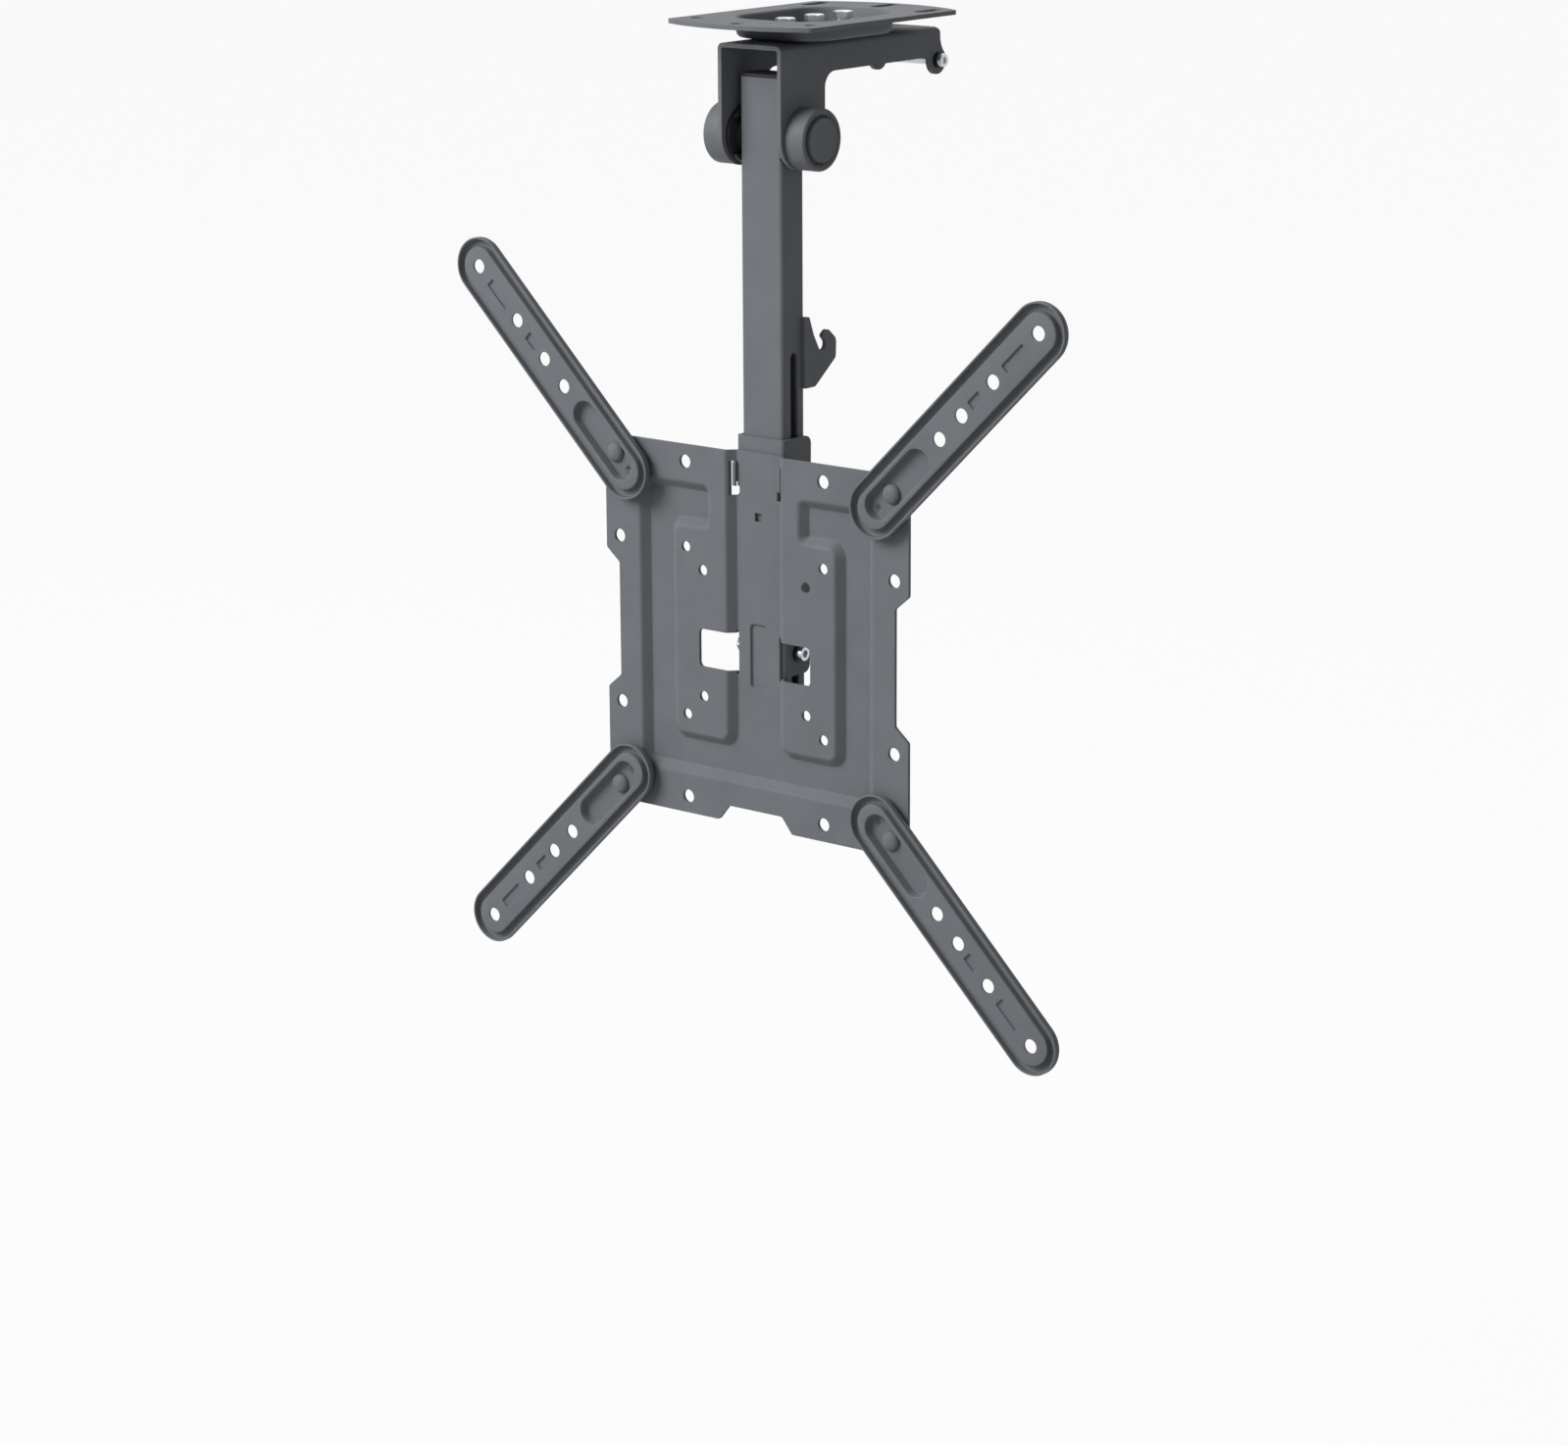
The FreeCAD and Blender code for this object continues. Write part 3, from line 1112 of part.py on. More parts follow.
def rivet(side_x, side_z):
    seat = ARM_REAR - ARM_SHEET - RUB_CLEARANCE
    head = RIVET_HEAD_D / 2
    dome = [(head * across, seat - RIVET_HEAD_H * rise) for across, rise in RIVET_DOME]
    end = PLATE_REAR + RIVET_TAIL_H
    return turned([(0, seat - RIVET_HEAD_H)] + dome + [
        (head, seat),
        (RIVET_D / 2, seat),
        (RIVET_D / 2, PLATE_REAR),
        (RIVET_TAIL_D / 2, PLATE_REAR),
        (RIVET_TAIL_D / 2 - RIVET_TAIL_BEVEL, end),
        (0, end),
    ], "y", side_x * RIVET_AT, PLATE_Z + side_z * RIVET_AT)


CORNERS = {
    "upper_left": (-1, 1),
    "upper_right": (1, 1),
    "lower_left": (-1, -1),
    "lower_right": (1, -1),
}


def nodes():
    """Every sub-part by its node's name."""
    parts = {
        "ceiling_plate": ceiling_plate(),
        "swivel_washer": swivel_washer(),
        "swivel_bolts": swivel_bolts(),
        "swivel_sleeves": swivel_sleeves(),
        "swivel_rings": swivel_rings(),
        "swivel_nuts": swivel_nuts(),
        "bracket": bracket(),
        "pivot_bolt": pivot_bolt(),
        "pivot_nut": pivot_nut(),
        "pivot_rings": pivot_rings(),
        "cap_right": cap_right(),
        "cap_left": mirrored(cap_right()),
        "cap_disc_right": cap_disc_right(),
        "cap_disc_left": mirrored(cap_disc_right()),
        "spacer_right": spacer_right(),
        "spacer_left": mirrored(spacer_right()),
        "pivot_sleeve": pivot_sleeve(),
        "catch_bolt": catch_bolt(),
        "catch_rings": catch_rings(),
        "catch_nut": catch_nut(),
        "fold_tube": fold_tube(),
        "tube_plug_top": tube_plug(TUBE_TOP, -1),
        "tube_plug_bottom": tube_plug(TUBE_BOTTOM, 1),
        "catch_hook": catch_hook(),
        "carriage": carriage(),
        "clamp_bolts": clamp_bolts(),
        "clamp_rings": clamp_rings(),
        "clamp_nuts": clamp_nuts(),
        "vesa_plate": vesa_plate(),
    }
    blank = arm_blank()
    for corner, (side_x, side_z) in CORNERS.items():
        parts["arm_" + corner] = placed_arm(blank, side_x, side_z)
        parts["rivet_" + corner] = rivet(side_x, side_z)
    return parts


def main():
    os.makedirs("parts", exist_ok=True)
    for name, shape in nodes().items():
        solids = shape.Solids
        if not solids or not shape.isValid():
            raise ValueError(name + " is not a valid solid")
        print(name, len(solids), "solid, volume", round(shape.Volume), "mm3")
        shape.exportStep("parts/" + name + ".step")


main()
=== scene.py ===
"""Looks of the ceiling mount: powder-coated sheet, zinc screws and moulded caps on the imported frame."""

import json
import math

import bmesh
import bpy
import numpy as np
from mathutils import Matrix, Vector

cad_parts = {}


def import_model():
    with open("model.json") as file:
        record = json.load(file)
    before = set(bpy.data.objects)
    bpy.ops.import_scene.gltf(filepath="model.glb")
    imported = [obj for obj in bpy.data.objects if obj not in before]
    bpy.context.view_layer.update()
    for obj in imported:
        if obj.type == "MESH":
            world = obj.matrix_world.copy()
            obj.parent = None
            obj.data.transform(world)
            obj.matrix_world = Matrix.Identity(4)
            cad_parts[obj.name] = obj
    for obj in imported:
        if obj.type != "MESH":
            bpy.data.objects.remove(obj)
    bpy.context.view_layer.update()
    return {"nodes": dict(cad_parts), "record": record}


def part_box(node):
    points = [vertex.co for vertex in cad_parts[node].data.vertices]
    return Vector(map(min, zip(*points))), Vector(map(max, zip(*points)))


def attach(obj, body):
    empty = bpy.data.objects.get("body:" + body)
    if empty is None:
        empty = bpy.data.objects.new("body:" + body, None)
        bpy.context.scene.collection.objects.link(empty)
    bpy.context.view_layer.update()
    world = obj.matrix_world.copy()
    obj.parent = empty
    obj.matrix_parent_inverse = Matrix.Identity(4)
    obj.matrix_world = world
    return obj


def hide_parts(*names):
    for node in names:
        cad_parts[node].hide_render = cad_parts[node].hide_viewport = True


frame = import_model()
NODES = frame["nodes"]

MM = 0.001
UP, RIGHT, BACK = (0, 0, 1), (1, 0, 0), (0, 1, 0)


# --- materials -------------------------------------------------------------------------------------------

# Edge rounding that the light sees, on cut sheet and on turned or moulded parts
SHEET_EDGE = 0.3 * MM
PART_EDGE = 0.25 * MM
BEVEL_SAMPLES = 6
HIGHLIGHT_FROM, HIGHLIGHT_FULL = 0.99, 0.80       # cosine of the rounded to the true normal where the painted edge highlight starts and ends

# Powder coat: noise scales in repeats per metre, and how far its colour and roughness stray
CLOUD_SCALE, DULL_SCALE, GRAIN_SCALE = 35.0, 90.0, 1200.0
CLOUD_DARK, CLOUD_LIGHT = 0.96, 1.04
CLOUD_SPAN = (0.35, 0.65)
DULL_LESS, DULL_MORE = 0.05, 0.06
GRAIN_DEPTH = 0.12 * MM
COAT_GLOSS = 0.20
EDGE_HIGHLIGHT = 1.35                        # brightness of the painted highlight on convex edges against the coat

# Zinc: streaks in the colour, spots in the roughness, and a fine grain
STREAK_SCALE, SPOT_SCALE, PLATING_SCALE = 420.0, 700.0, 1800.0
STREAK_SPAN = (0.3, 0.7)
ZINC_ROUGHNESS = (0.24, 0.42)
PLATING_GRAIN = 0.06
PLATING_DEPTH = 0.1 * MM


def material(name):
    """A new node material, its tree and its shader."""
    made = bpy.data.materials.new(name)
    made.use_nodes = True
    return made, made.node_tree, made.node_tree.nodes["Principled BSDF"]


def noise(tree, scale, detail=4.0, roughness=0.55):
    """Noise in object coordinates, in repeats per metre."""
    source = tree.nodes.new("ShaderNodeTexCoord")
    node = tree.nodes.new("ShaderNodeTexNoise")
    node.inputs["Scale"].default_value = scale
    node.inputs["Detail"].default_value = detail
    node.inputs["Roughness"].default_value = roughness
    tree.links.new(source.outputs["Object"], node.inputs["Vector"])
    return node.outputs["Fac"]


def ramp(tree, factor, span, colour_low, colour_high):
    """A colour that changes from low to high where the factor crosses the span."""
    node = tree.nodes.new("ShaderNodeValToRGB")
    for element, position, colour in zip(node.color_ramp.elements, span, (colour_low, colour_high)):
        element.position = position
        element.color = (*colour, 1)
    tree.links.new(factor, node.inputs["Fac"])
    return node.outputs["Color"]


def value_range(tree, factor, low, high):
    """The factor's range from 0 to 1 stretched to low and high."""
    node = tree.nodes.new("ShaderNodeMapRange")
    node.inputs["To Min"].default_value = low
    node.inputs["To Max"].default_value = high
    tree.links.new(factor, node.inputs["Value"])
    return node.outputs["Result"]


def rounded_normal(tree, edge):
    """The surface's normal, as if its edges were rounded by edge."""
    node = tree.nodes.new("ShaderNodeBevel")
    node.samples = BEVEL_SAMPLES
    node.inputs["Radius"].default_value = edge
    return node.outputs["Normal"]


def surface(tree, shader, height, strength, distance, edge):
    """Bump from height over edges that the light sees rounded by edge."""
    normal = rounded_normal(tree, edge)
    node = tree.nodes.new("ShaderNodeBump")
    node.inputs["Strength"].default_value = strength
    node.inputs["Distance"].default_value = distance
    tree.links.new(height, node.inputs["Height"])
    tree.links.new(normal, node.inputs["Normal"])
    tree.links.new(node.outputs["Normal"], shader.inputs["Normal"])


def edge_highlight_mask(tree, edge):
    """Mask of the painted edge highlight, near 1 on a convex edge and 0 on a flat: how far the rounded normal
    leaves the true one.
    """
    normal = rounded_normal(tree, edge)
    true = tree.nodes.new("ShaderNodeNewGeometry")
    turn = tree.nodes.new("ShaderNodeVectorMath")
    turn.operation = "DOT_PRODUCT"
    tree.links.new(normal, turn.inputs[0])
    tree.links.new(true.outputs["Normal"], turn.inputs[1])
    node = tree.nodes.new("ShaderNodeMapRange")
    node.inputs["From Min"].default_value = HIGHLIGHT_FROM
    node.inputs["From Max"].default_value = HIGHLIGHT_FULL
    tree.links.new(turn.outputs["Value"], node.inputs["Value"])
    return node.outputs["Result"]


def mixed(tree, factor, low, high):
    """Colour low where factor is 0 and colour high where it is 1. low is a socket."""
    node = tree.nodes.new("ShaderNodeMix")
    node.data_type = "RGBA"
    tree.links.new(factor, node.inputs["Factor"])
    tree.links.new(low, node.inputs[6])
    node.inputs[7].default_value = (*high, 1)
    return node.outputs[2]


def powder_coat(name, base, roughness, grain, edge):
    """Powder coat or moulded plastic: orange-peel grain, faint clouds, and convex edges painted lighter as a
    highlight.
    """
    made, tree, shader = material(name)
    shares = (CLOUD_DARK, CLOUD_LIGHT, EDGE_HIGHLIGHT)
    dark, light, highlit = (tuple(c * share for c in base) for share in shares)
    body = ramp(tree, noise(tree, CLOUD_SCALE, 3.0), CLOUD_SPAN, dark, light)
    # convex edges get a painted highlight: their colour is lighter, standing in for light caught on the
    # rounded edge
    tree.links.new(mixed(tree, edge_highlight_mask(tree, edge), body, highlit), shader.inputs["Base Color"])
    dull = value_range(tree, noise(tree, DULL_SCALE), roughness - DULL_LESS, roughness + DULL_MORE)
    tree.links.new(dull, shader.inputs["Roughness"])
    surface(tree, shader, noise(tree, GRAIN_SCALE, 2.0), grain, GRAIN_DEPTH, edge)
    shader.inputs["Specular IOR Level"].default_value = COAT_GLOSS
    return made


def zinc_plate(name, low, high):
    """Bright zinc plating with fine streaks and dull spots."""
    made, tree, shader = material(name)
    tree.links.new(ramp(tree, noise(tree, STREAK_SCALE), STREAK_SPAN, low, high), shader.inputs["Base Color"])
    tree.links.new(value_range(tree, noise(tree, SPOT_SCALE), *ZINC_ROUGHNESS), shader.inputs["Roughness"])
    surface(tree, shader, noise(tree, PLATING_SCALE, 2.0), PLATING_GRAIN, PLATING_DEPTH, PART_EDGE)
    shader.inputs["Metallic"].default_value = 1.0
    return made


FINISH = {
    "coated_steel": powder_coat("coated_steel", (0.124, 0.132, 0.143), 0.62, 0.12, SHEET_EDGE),
    "cap_plastic": powder_coat("cap_plastic", (0.116, 0.124, 0.134), 0.56, 0.10, PART_EDGE),
    "slide_plastic": powder_coat("slide_plastic", (0.020, 0.020, 0.022), 0.50, 0.08, PART_EDGE),
    "black_ring": powder_coat("black_ring", (0.016, 0.016, 0.018), 0.38, 0.05, PART_EDGE),
    "zinc": zinc_plate("zinc", (0.50, 0.52, 0.55), (0.66, 0.68, 0.72)),
}


def paint_nodes():
    """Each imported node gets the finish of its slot."""
    for row in frame["record"]["subparts"]:
        node = NODES[row["node"]]
        node.data.materials.clear()
        node.data.materials.append(FINISH[row["material_slot"]])


# --- meshes ----------------------------------------------------------------------------------------------

TURN = 72                               # points round a turned piece
ANGLES = np.arange(TURN) * 2 * math.pi / TURN
SHARP = math.radians(32)                # edges that turn by more than this stay sharp


def hex_radius(across_flats):
    """Radius of a hexagon at each of the ring's angles."""
    return across_flats / 2 / np.cos((ANGLES + math.pi / 6) % (math.pi / 3) - math.pi / 6)


def ring(radius, height):
    """One ring of a turned piece: radius and height may change with the angle."""
    full = np.ones(TURN)
    return full * radius, full * height


def band(low, high):
    """Faces between the rings that start at points low and high."""
    return [(low + i, low + (i + 1) % TURN, high + (i + 1) % TURN, high + i) for i in range(TURN)]


def turned(rings, bored=False):
    """Skin over a stack of rings along +Z: points and faces. Capped at both ends, or with a bore."""
    points = [np.stack((radius * np.cos(ANGLES), radius * np.sin(ANGLES), height), axis=1)
              for radius, height in rings]
    last = (len(rings) - 1) * TURN
    faces = [face for low in range(0, last, TURN) for face in band(low, low + TURN)]
    if bored:
        faces += band(last, 0)
    else:
        faces += [tuple(reversed(range(TURN))), tuple(range(last, last + TURN))]
    return np.concatenate(points), faces


def placed(shape, axis, at, flip=False):
    """The shape with its own Z on the given axis, its origin at the given point."""
    points, faces = shape
    turn = Vector(UP).rotation_difference(Vector(axis) * (-1 if flip else 1)).to_matrix()
    return points @ np.array(turn).T + np.array(at), faces


def finished(mesh, shape):
    """The mesh, filled from a bmesh: smooth but for its sharp edges."""
    bmesh.ops.recalc_face_normals(shape, faces=shape.faces)
    for face in shape.faces:
        face.smooth = True
    for edge in shape.edges:
        if len(edge.link_faces) == 2:
            edge.smooth = edge.calc_face_angle(0) < SHARP
    shape.to_mesh(mesh)
    shape.free()
    if "custom_normal" in mesh.attributes:
        mesh.attributes.remove(mesh.attributes["custom_normal"])
    return mesh


def made_mesh(name, shapes):
    """One mesh from several shapes."""
    points = []
    faces = []
    for some_points, some_faces in shapes:
        start = len(points)
        points.extend(some_points.tolist())
        faces.extend(tuple(start + i for i in face) for face in some_faces)
    mesh = bpy.data.meshes.new(name)
    mesh.from_pydata(points, [], faces)
    shape = bmesh.new()
    shape.from_mesh(mesh)
    return finished(mesh, shape)


def slot_of(node):
    """The record's material slot of a node."""
    return next(row["material_slot"] for row in frame["record"]["subparts"] if row["node"] == node)


def body_of(node):
    """The body that a node rides on."""
    return next(name for name, nodes in frame["record"]["behaviour"]["bodies"].items() if node in nodes)


def stand_in(node, mesh):
    """A finer piece in a node's place, with its finish and on its body."""
    thing = bpy.data.objects.new(mesh.name, mesh)
    bpy.context.scene.collection.objects.link(thing)
    mesh.materials.clear()
    mesh.materials.append(FINISH[slot_of(node)])
    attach(thing, body_of(node))
    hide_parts(node)


def copies(node, shape, axis, places, flip=False):
    """A finer piece in a node's place, made of the same shape at each of the places."""
    stand_in(node, made_mesh(node + "_fine", [placed(shape, axis, at, flip) for at in places]))


def middle(node):
    """The centre of a node's box."""
    low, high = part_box(node)
    return [(a + b) / 2 for a, b in zip(low, high)]


# --- screws ----------------------------------------------------------------------------------------------

# Thread, with its depth and the taper of the screw's end as shares of the pitch
PITCH = 1.0 * MM
THREAD_DEPTH = 0.54
TIP_TAPER = 0.62
THREAD_STEPS = 6                        # rings in one turn
FADE_FROM = 0.15                        # share of the depth at a thread's two ends
TIP = 0.35 * MM
RUN_OUT = 0.3 * MM

# Hexagons: the chamfered face and the rings under and over it, as shares of the circle inside them
FACE = 0.97
UNDER_HEAD, OVER_SEAT = 0.93, 0.95
TOP_RING = 0.55                         # share of the face
CHAMFER = math.radians(30)
SEAT_STEP = 0.25 * MM

# Socket heads: the rounded rim, and the socket with its chamfer and cone
HEAD_FOOT = 0.2 * MM
HEAD_ROUND, HEAD_ROUND_MIDDLE = 0.45 * MM, 0.13 * MM
SOCKET_DEPTH = 0.62                     # share of the head's height
SOCKET_MOUTH, SOCKET_CONE = 1.24, 0.4   # shares of the radius inside the socket's hexagon
MOUTH_DEPTH, CONE_DEPTH = 0.2 * MM, 0.3 * MM

# Nuts: the bore's chamfer, and the collar as shares of the face's radius and distances below its top
BORE_CHAMFER = 0.35 * MM
COLLAR_FOOT, COLLAR_FOOT_AT = 0.95, 0.1 * MM
COLLAR = ((0.93, 0.5 * MM), (0.86, 0.12 * MM), (0.76, 0.0))

# Sizes and places, as in the solids: shank radius and thread length, head, nut across its flats
SWIVEL_R, SWIVEL_THREAD = 3.0 * MM, 8 * MM
SWIVEL_AF, SWIVEL_SEAT = 10.0 * MM, -4.0 * MM
SWIVEL_NUT_COLLAR = 1.6 * MM
SWIVEL_Y = (28.2 * MM, 54.6 * MM, 81.0 * MM)
CATCH_R, CATCH_THREAD = 3.0 * MM, 14 * MM
CATCH_HEAD, CATCH_HEAD_H, CATCH_SOCKET = 3.8 * MM, 3.0 * MM, 3.6 * MM
CATCH_NUT_AF = 9.0 * MM
CLAMP_R, CLAMP_THREAD = 3.0 * MM, 16 * MM
CLAMP_HEAD, CLAMP_HEAD_H, CLAMP_SOCKET = 4.1 * MM, 3.6 * MM, 4.0 * MM
CLAMP_NUT_AF = 10.0 * MM
CLAMP_Z = (-275.6 * MM, -359.6 * MM)


def thread(radius, start, end):
    """Rings of a screw thread from start up to end, its crest at radius."""
    rings = []
    count = int(round(abs(end - start) / PITCH * THREAD_STEPS))
    for k in range(count + 1):
        height = start + (end - start) * k / count
        phase = (height / PITCH - ANGLES / (2 * math.pi)) % 1.0
        fade = min(1.0, 3.0 * min(k, count - k) / THREAD_STEPS + FADE_FROM)
        rings.append(ring(radius - THREAD_DEPTH * PITCH * fade * np.abs(2 * phase - 1), height))
    return rings


def shank(radius, seat, end, thread_length):
    """Rings of a screw's shank from its threaded end up to the head's seat."""
    return [ring(radius - TIP_TAPER * PITCH, end),
            *thread(radius, end + TIP, end + thread_length),
            ring(radius, end + thread_length + RUN_OUT), ring(radius, seat)]


def hex_chamfer(across_flats, level, towards):
    """Heights at which a chamfer leaves a hexagon's sides, for a face at the given level."""
    drop = (hex_radius(across_flats) - across_flats / 2 * FACE) * math.tan(CHAMFER)
    return level - towards * drop


def hex_bolt(radius, across_flats, seat, top, end, thread_length):
    """Hex head from seat to top, and a shank down to end, threaded near it."""
    flat = across_flats / 2
    return turned([*shank(radius, seat, end, thread_length),
                   ring(flat * UNDER_HEAD, seat), ring(flat * OVER_SEAT, seat + SEAT_STEP),
                   ring(hex_radius(across_flats), seat + SEAT_STEP),
                   ring(hex_radius(across_flats), hex_chamfer(across_flats, top, 1)),
                   ring(flat * FACE, top), ring(flat * FACE * TOP_RING, top)])


def socket_bolt(radius, head, socket, seat, top, end, thread_length):
    """Round socket head from seat to top with a hexagon socket, and a threaded shank down to end."""
    floor = top - SOCKET_DEPTH * (top - seat)
    return turned([*shank(radius, seat, end, thread_length),
                   ring(head - HEAD_FOOT, seat), ring(head, seat + HEAD_FOOT), ring(head, top - HEAD_ROUND),
                   ring(head - HEAD_ROUND_MIDDLE, top - HEAD_ROUND_MIDDLE), ring(head - HEAD_ROUND, top),
                   ring(socket / 2 * SOCKET_MOUTH, top), ring(hex_radius(socket), top - MOUTH_DEPTH),
                   ring(hex_radius(socket), floor), ring(socket / 2 * SOCKET_CONE, floor - CONE_DEPTH)])


def lock_nut(bore, across_flats, low, high, collar):
    """Hexagon nut from low to high. Above its hexagon stands a rounded collar of the given height."""
    face = across_flats / 2 * FACE
    top = high - collar
    rings = [ring(face, low), ring(hex_radius(across_flats), hex_chamfer(across_flats, low, -1)),
             ring(hex_radius(across_flats), hex_chamfer(across_flats, top, 1)), ring(face, top)]
    if collar:
        rings.append(ring(face * COLLAR_FOOT, top + COLLAR_FOOT_AT))
        rings += [ring(face * share, high - below) for share, below in COLLAR]
    rings += [ring(bore + BORE_CHAMFER, high), ring(bore, high - BORE_CHAMFER), ring(bore, low)]
    return turned(rings, bored=True)


def screws():
    """Bolts and nuts with chamfers, sockets and threads, in the places of the solids' plain ones."""
    at = [(0, y, 0) for y in SWIVEL_Y]
    low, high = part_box("swivel_bolts")
    bolt = hex_bolt(SWIVEL_R, SWIVEL_AF, SWIVEL_SEAT, high[2], low[2], SWIVEL_THREAD)
    copies("swivel_bolts", bolt, UP, at)
    low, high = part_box("swivel_nuts")
    nut = lock_nut(SWIVEL_R, SWIVEL_AF, -high[2], -low[2], SWIVEL_NUT_COLLAR)
    copies("swivel_nuts", nut, UP, at, flip=True)

    _, y, z = middle("catch_bolt")
    at = [(0, y, z)]
    low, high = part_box("catch_bolt")
    seat = high[0] - CATCH_HEAD_H
    bolt = socket_bolt(CATCH_R, CATCH_HEAD, CATCH_SOCKET, seat, high[0], low[0], CATCH_THREAD)
    copies("catch_bolt", bolt, RIGHT, at)
    low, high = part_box("catch_nut")
    nut = lock_nut(CATCH_R, CATCH_NUT_AF, low[0], high[0], 0.0)
    copies("catch_nut", nut, RIGHT, at)

    y = middle("clamp_bolts")[1]
    at = [(0, y, z) for z in CLAMP_Z]
    low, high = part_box("clamp_bolts")
    seat = high[0] - CLAMP_HEAD_H
    bolt = socket_bolt(CLAMP_R, CLAMP_HEAD, CLAMP_SOCKET, seat, high[0], low[0], CLAMP_THREAD)
    copies("clamp_bolts", bolt, RIGHT, at)
    low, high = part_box("clamp_nuts")
    nut = lock_nut(CLAMP_R, CLAMP_NUT_AF, -high[0], -low[0], 0.0)
    copies("clamp_nuts", nut, RIGHT, at, flip=True)


# --- caps ------------------------------------------------------------------------------------------------

# Radius and distance from the cap's foot, in mm: moulded cap with a rounded rim and a sloped recess
CAP_PROFILE = ((10.6, 0.0), (17.2, 0.0), (17.5, 0.3), (17.5, 12.1), (17.38, 12.7), (17.05, 13.2),
               (16.6, 13.5), (16.1, 13.6), (15.7, 13.52), (15.4, 13.3), (13.5, 12.3), (13.25, 12.0),
               (13.2, 11.4), (13.2, 1.6), (10.6, 1.6))
# The disc in it, with its flange and a soft rim
DISC_PROFILE = ((0.01, 9.9), (13.0, 9.9), (13.0, 11.3), (12.5, 11.4), (12.5, 13.7), (12.4, 14.05),
                (12.15, 14.28), (11.8, 14.38), (11.4, 14.3), (10.9, 14.22), (4.0, 14.3), (0.01, 14.32))


def caps():
    """The two caps over the fold axle, each with its disc."""
    for side, sign in (("left", -1), ("right", 1)):
        _, y, z = middle("cap_" + side)
        foot = min(abs(c[0]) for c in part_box("cap_" + side)) * sign
        for node, profile, bored in (("cap_" + side, CAP_PROFILE, True),
                                     ("cap_disc_" + side, DISC_PROFILE, False)):
            shape = turned([ring(radius * MM, height * MM) for radius, height in profile], bored)
            copies(node, shape, RIGHT, [(foot, y, z)], flip=sign < 0)


# --- pressed sheet ---------------------------------------------------------------------------------------

WELD = 0.001 * MM                       # points closer than this are one

# Arm sizes in mm, in the arm's own frame: u outwards from the rivet, w across, y to the rear
ARMS = (("upper_left", -1, 1), ("upper_right", 1, 1), ("lower_left", -1, -1), ("lower_right", 1, -1))
RIVET_AT = 100.0
PLATE_Z = -352.6
ARM_REAR = -3.6
ARM_TAIL = -13.0
ARM_END = RIVET_AT * math.sqrt(2)
FLOOR_FRONT, FLOOR_REAR = -6.8, -4.8    # faces of the solid's floor
THIN_REAR = -5.6                        # rear face of the floor, which the photograph shows thinner
REAR_HALF, REAR_EDGE = 11.98, 10.6      # half width of the floor's rear face, in the solid and here
# Section of the rim from the floor's edge outwards and back behind: a groove round the raised floor, and the
# flange that turns forward to a thin lip as high as the floor. Distance from the arm's middle line, and y
RIM = ((11.05, -6.74), (11.25, -6.58), (11.36, -6.3), (11.78, -3.95), (11.88, -3.58), (12.12, -3.32),
       (12.5, -3.22), (14.7, -3.22), (15.3, -3.34), (15.68, -3.66), (15.84, -4.1), (15.98, -6.55),
       (16.06, -6.73), (16.24, -6.8), (16.86, -6.8), (17.03, -6.73), (17.1, -6.55), (17.1, -3.8),
       (17.0, -3.1), (16.68, -2.52), (16.2, -2.15), (15.6, -2.0), (11.9, -2.0), (11.3, -2.14),
       (10.92, -2.5), (10.78, -3.1), (10.7, -5.45))

# How far a point may lie from the face, level or ring that it is counted to, and a divisor that is never 0
ON_FRONT, ON_LEVEL, ON_RING = 0.004, 0.02, 0.15
TINY = 1e-6

# The square index mark in the pan: its place and half width, its levels, and how it changes
DETENT_U, DETENT_HALF, DETENT_SLACK = -13.4, 2.3, 0.05
DETENT_LEVELS = (-1.9, -0.8)
DETENT_SHARE, DETENT_DEEPER = 0.15, 0.7

# The pressed rectangles: their places along the arm and half lengths, half width, floor, and how they change
MARKS = ((120.0, 9.5), (84.0, 5.0))
MARK_HALF_WIDTH, MARK_SLACK = 3.0, 0.1
MARK_FLOOR = -5.9
MARK_SLOPE, MARK_DEEPER = 0.5, 0.3

# The bracket's legs in mm: the pivot, the legs' round end in the solid and here, and what is kept round it
PIVOT_Y, PIVOT_Z = 15.5, -64.4
LEG_ROUND, LEG_END = 20.0, 17.7
LEG_KEPT = 12.0


def welded(node):
    """A bmesh of a node's own form, with the points of neighbouring faces joined."""
    shape = bmesh.new()
    shape.from_mesh(NODES[node].data)
    bmesh.ops.remove_doubles(shape, verts=shape.verts, dist=WELD)
    return shape


def points_of(shape):
    """A bmesh's points in mm, a row each."""
    return np.array([vert.co for vert in shape.verts], dtype=float) / MM


def move_points(shape, places):
    """Moves a bmesh's points to the places in mm, a row each."""
    for vert, place in zip(shape.verts, places * MM):
        vert.co = place


def sunk_marks(u, w, y):
    """The square index mark becomes a pyramid, and the pressed rectangles get sloped sides."""
    reach = DETENT_HALF + DETENT_SLACK
    low, high = DETENT_LEVELS
    here = (np.abs(u - DETENT_U) < reach) & (np.abs(w) < reach) & (y > low) & (y < high)
    u = np.where(here, DETENT_U + (u - DETENT_U) * DETENT_SHARE, u)
    w = np.where(here, w * DETENT_SHARE, w)
    y = np.where(here, y + DETENT_DEEPER, y)
    pressed = (np.abs(y - MARK_FLOOR) < ON_LEVEL) & (np.abs(w) < MARK_HALF_WIDTH + MARK_SLACK)
    for at, half in MARKS:
        here = pressed & (np.abs(u - at) < half + MARK_SLACK)
        u = np.where(here, at + (u - at) * (half - MARK_SLOPE) / half, u)
        w = np.where(here, w * (MARK_HALF_WIDTH - MARK_SLOPE) / MARK_HALF_WIDTH, w)
        y = np.where(here, y + MARK_DEEPER, y)
    return u, w, y


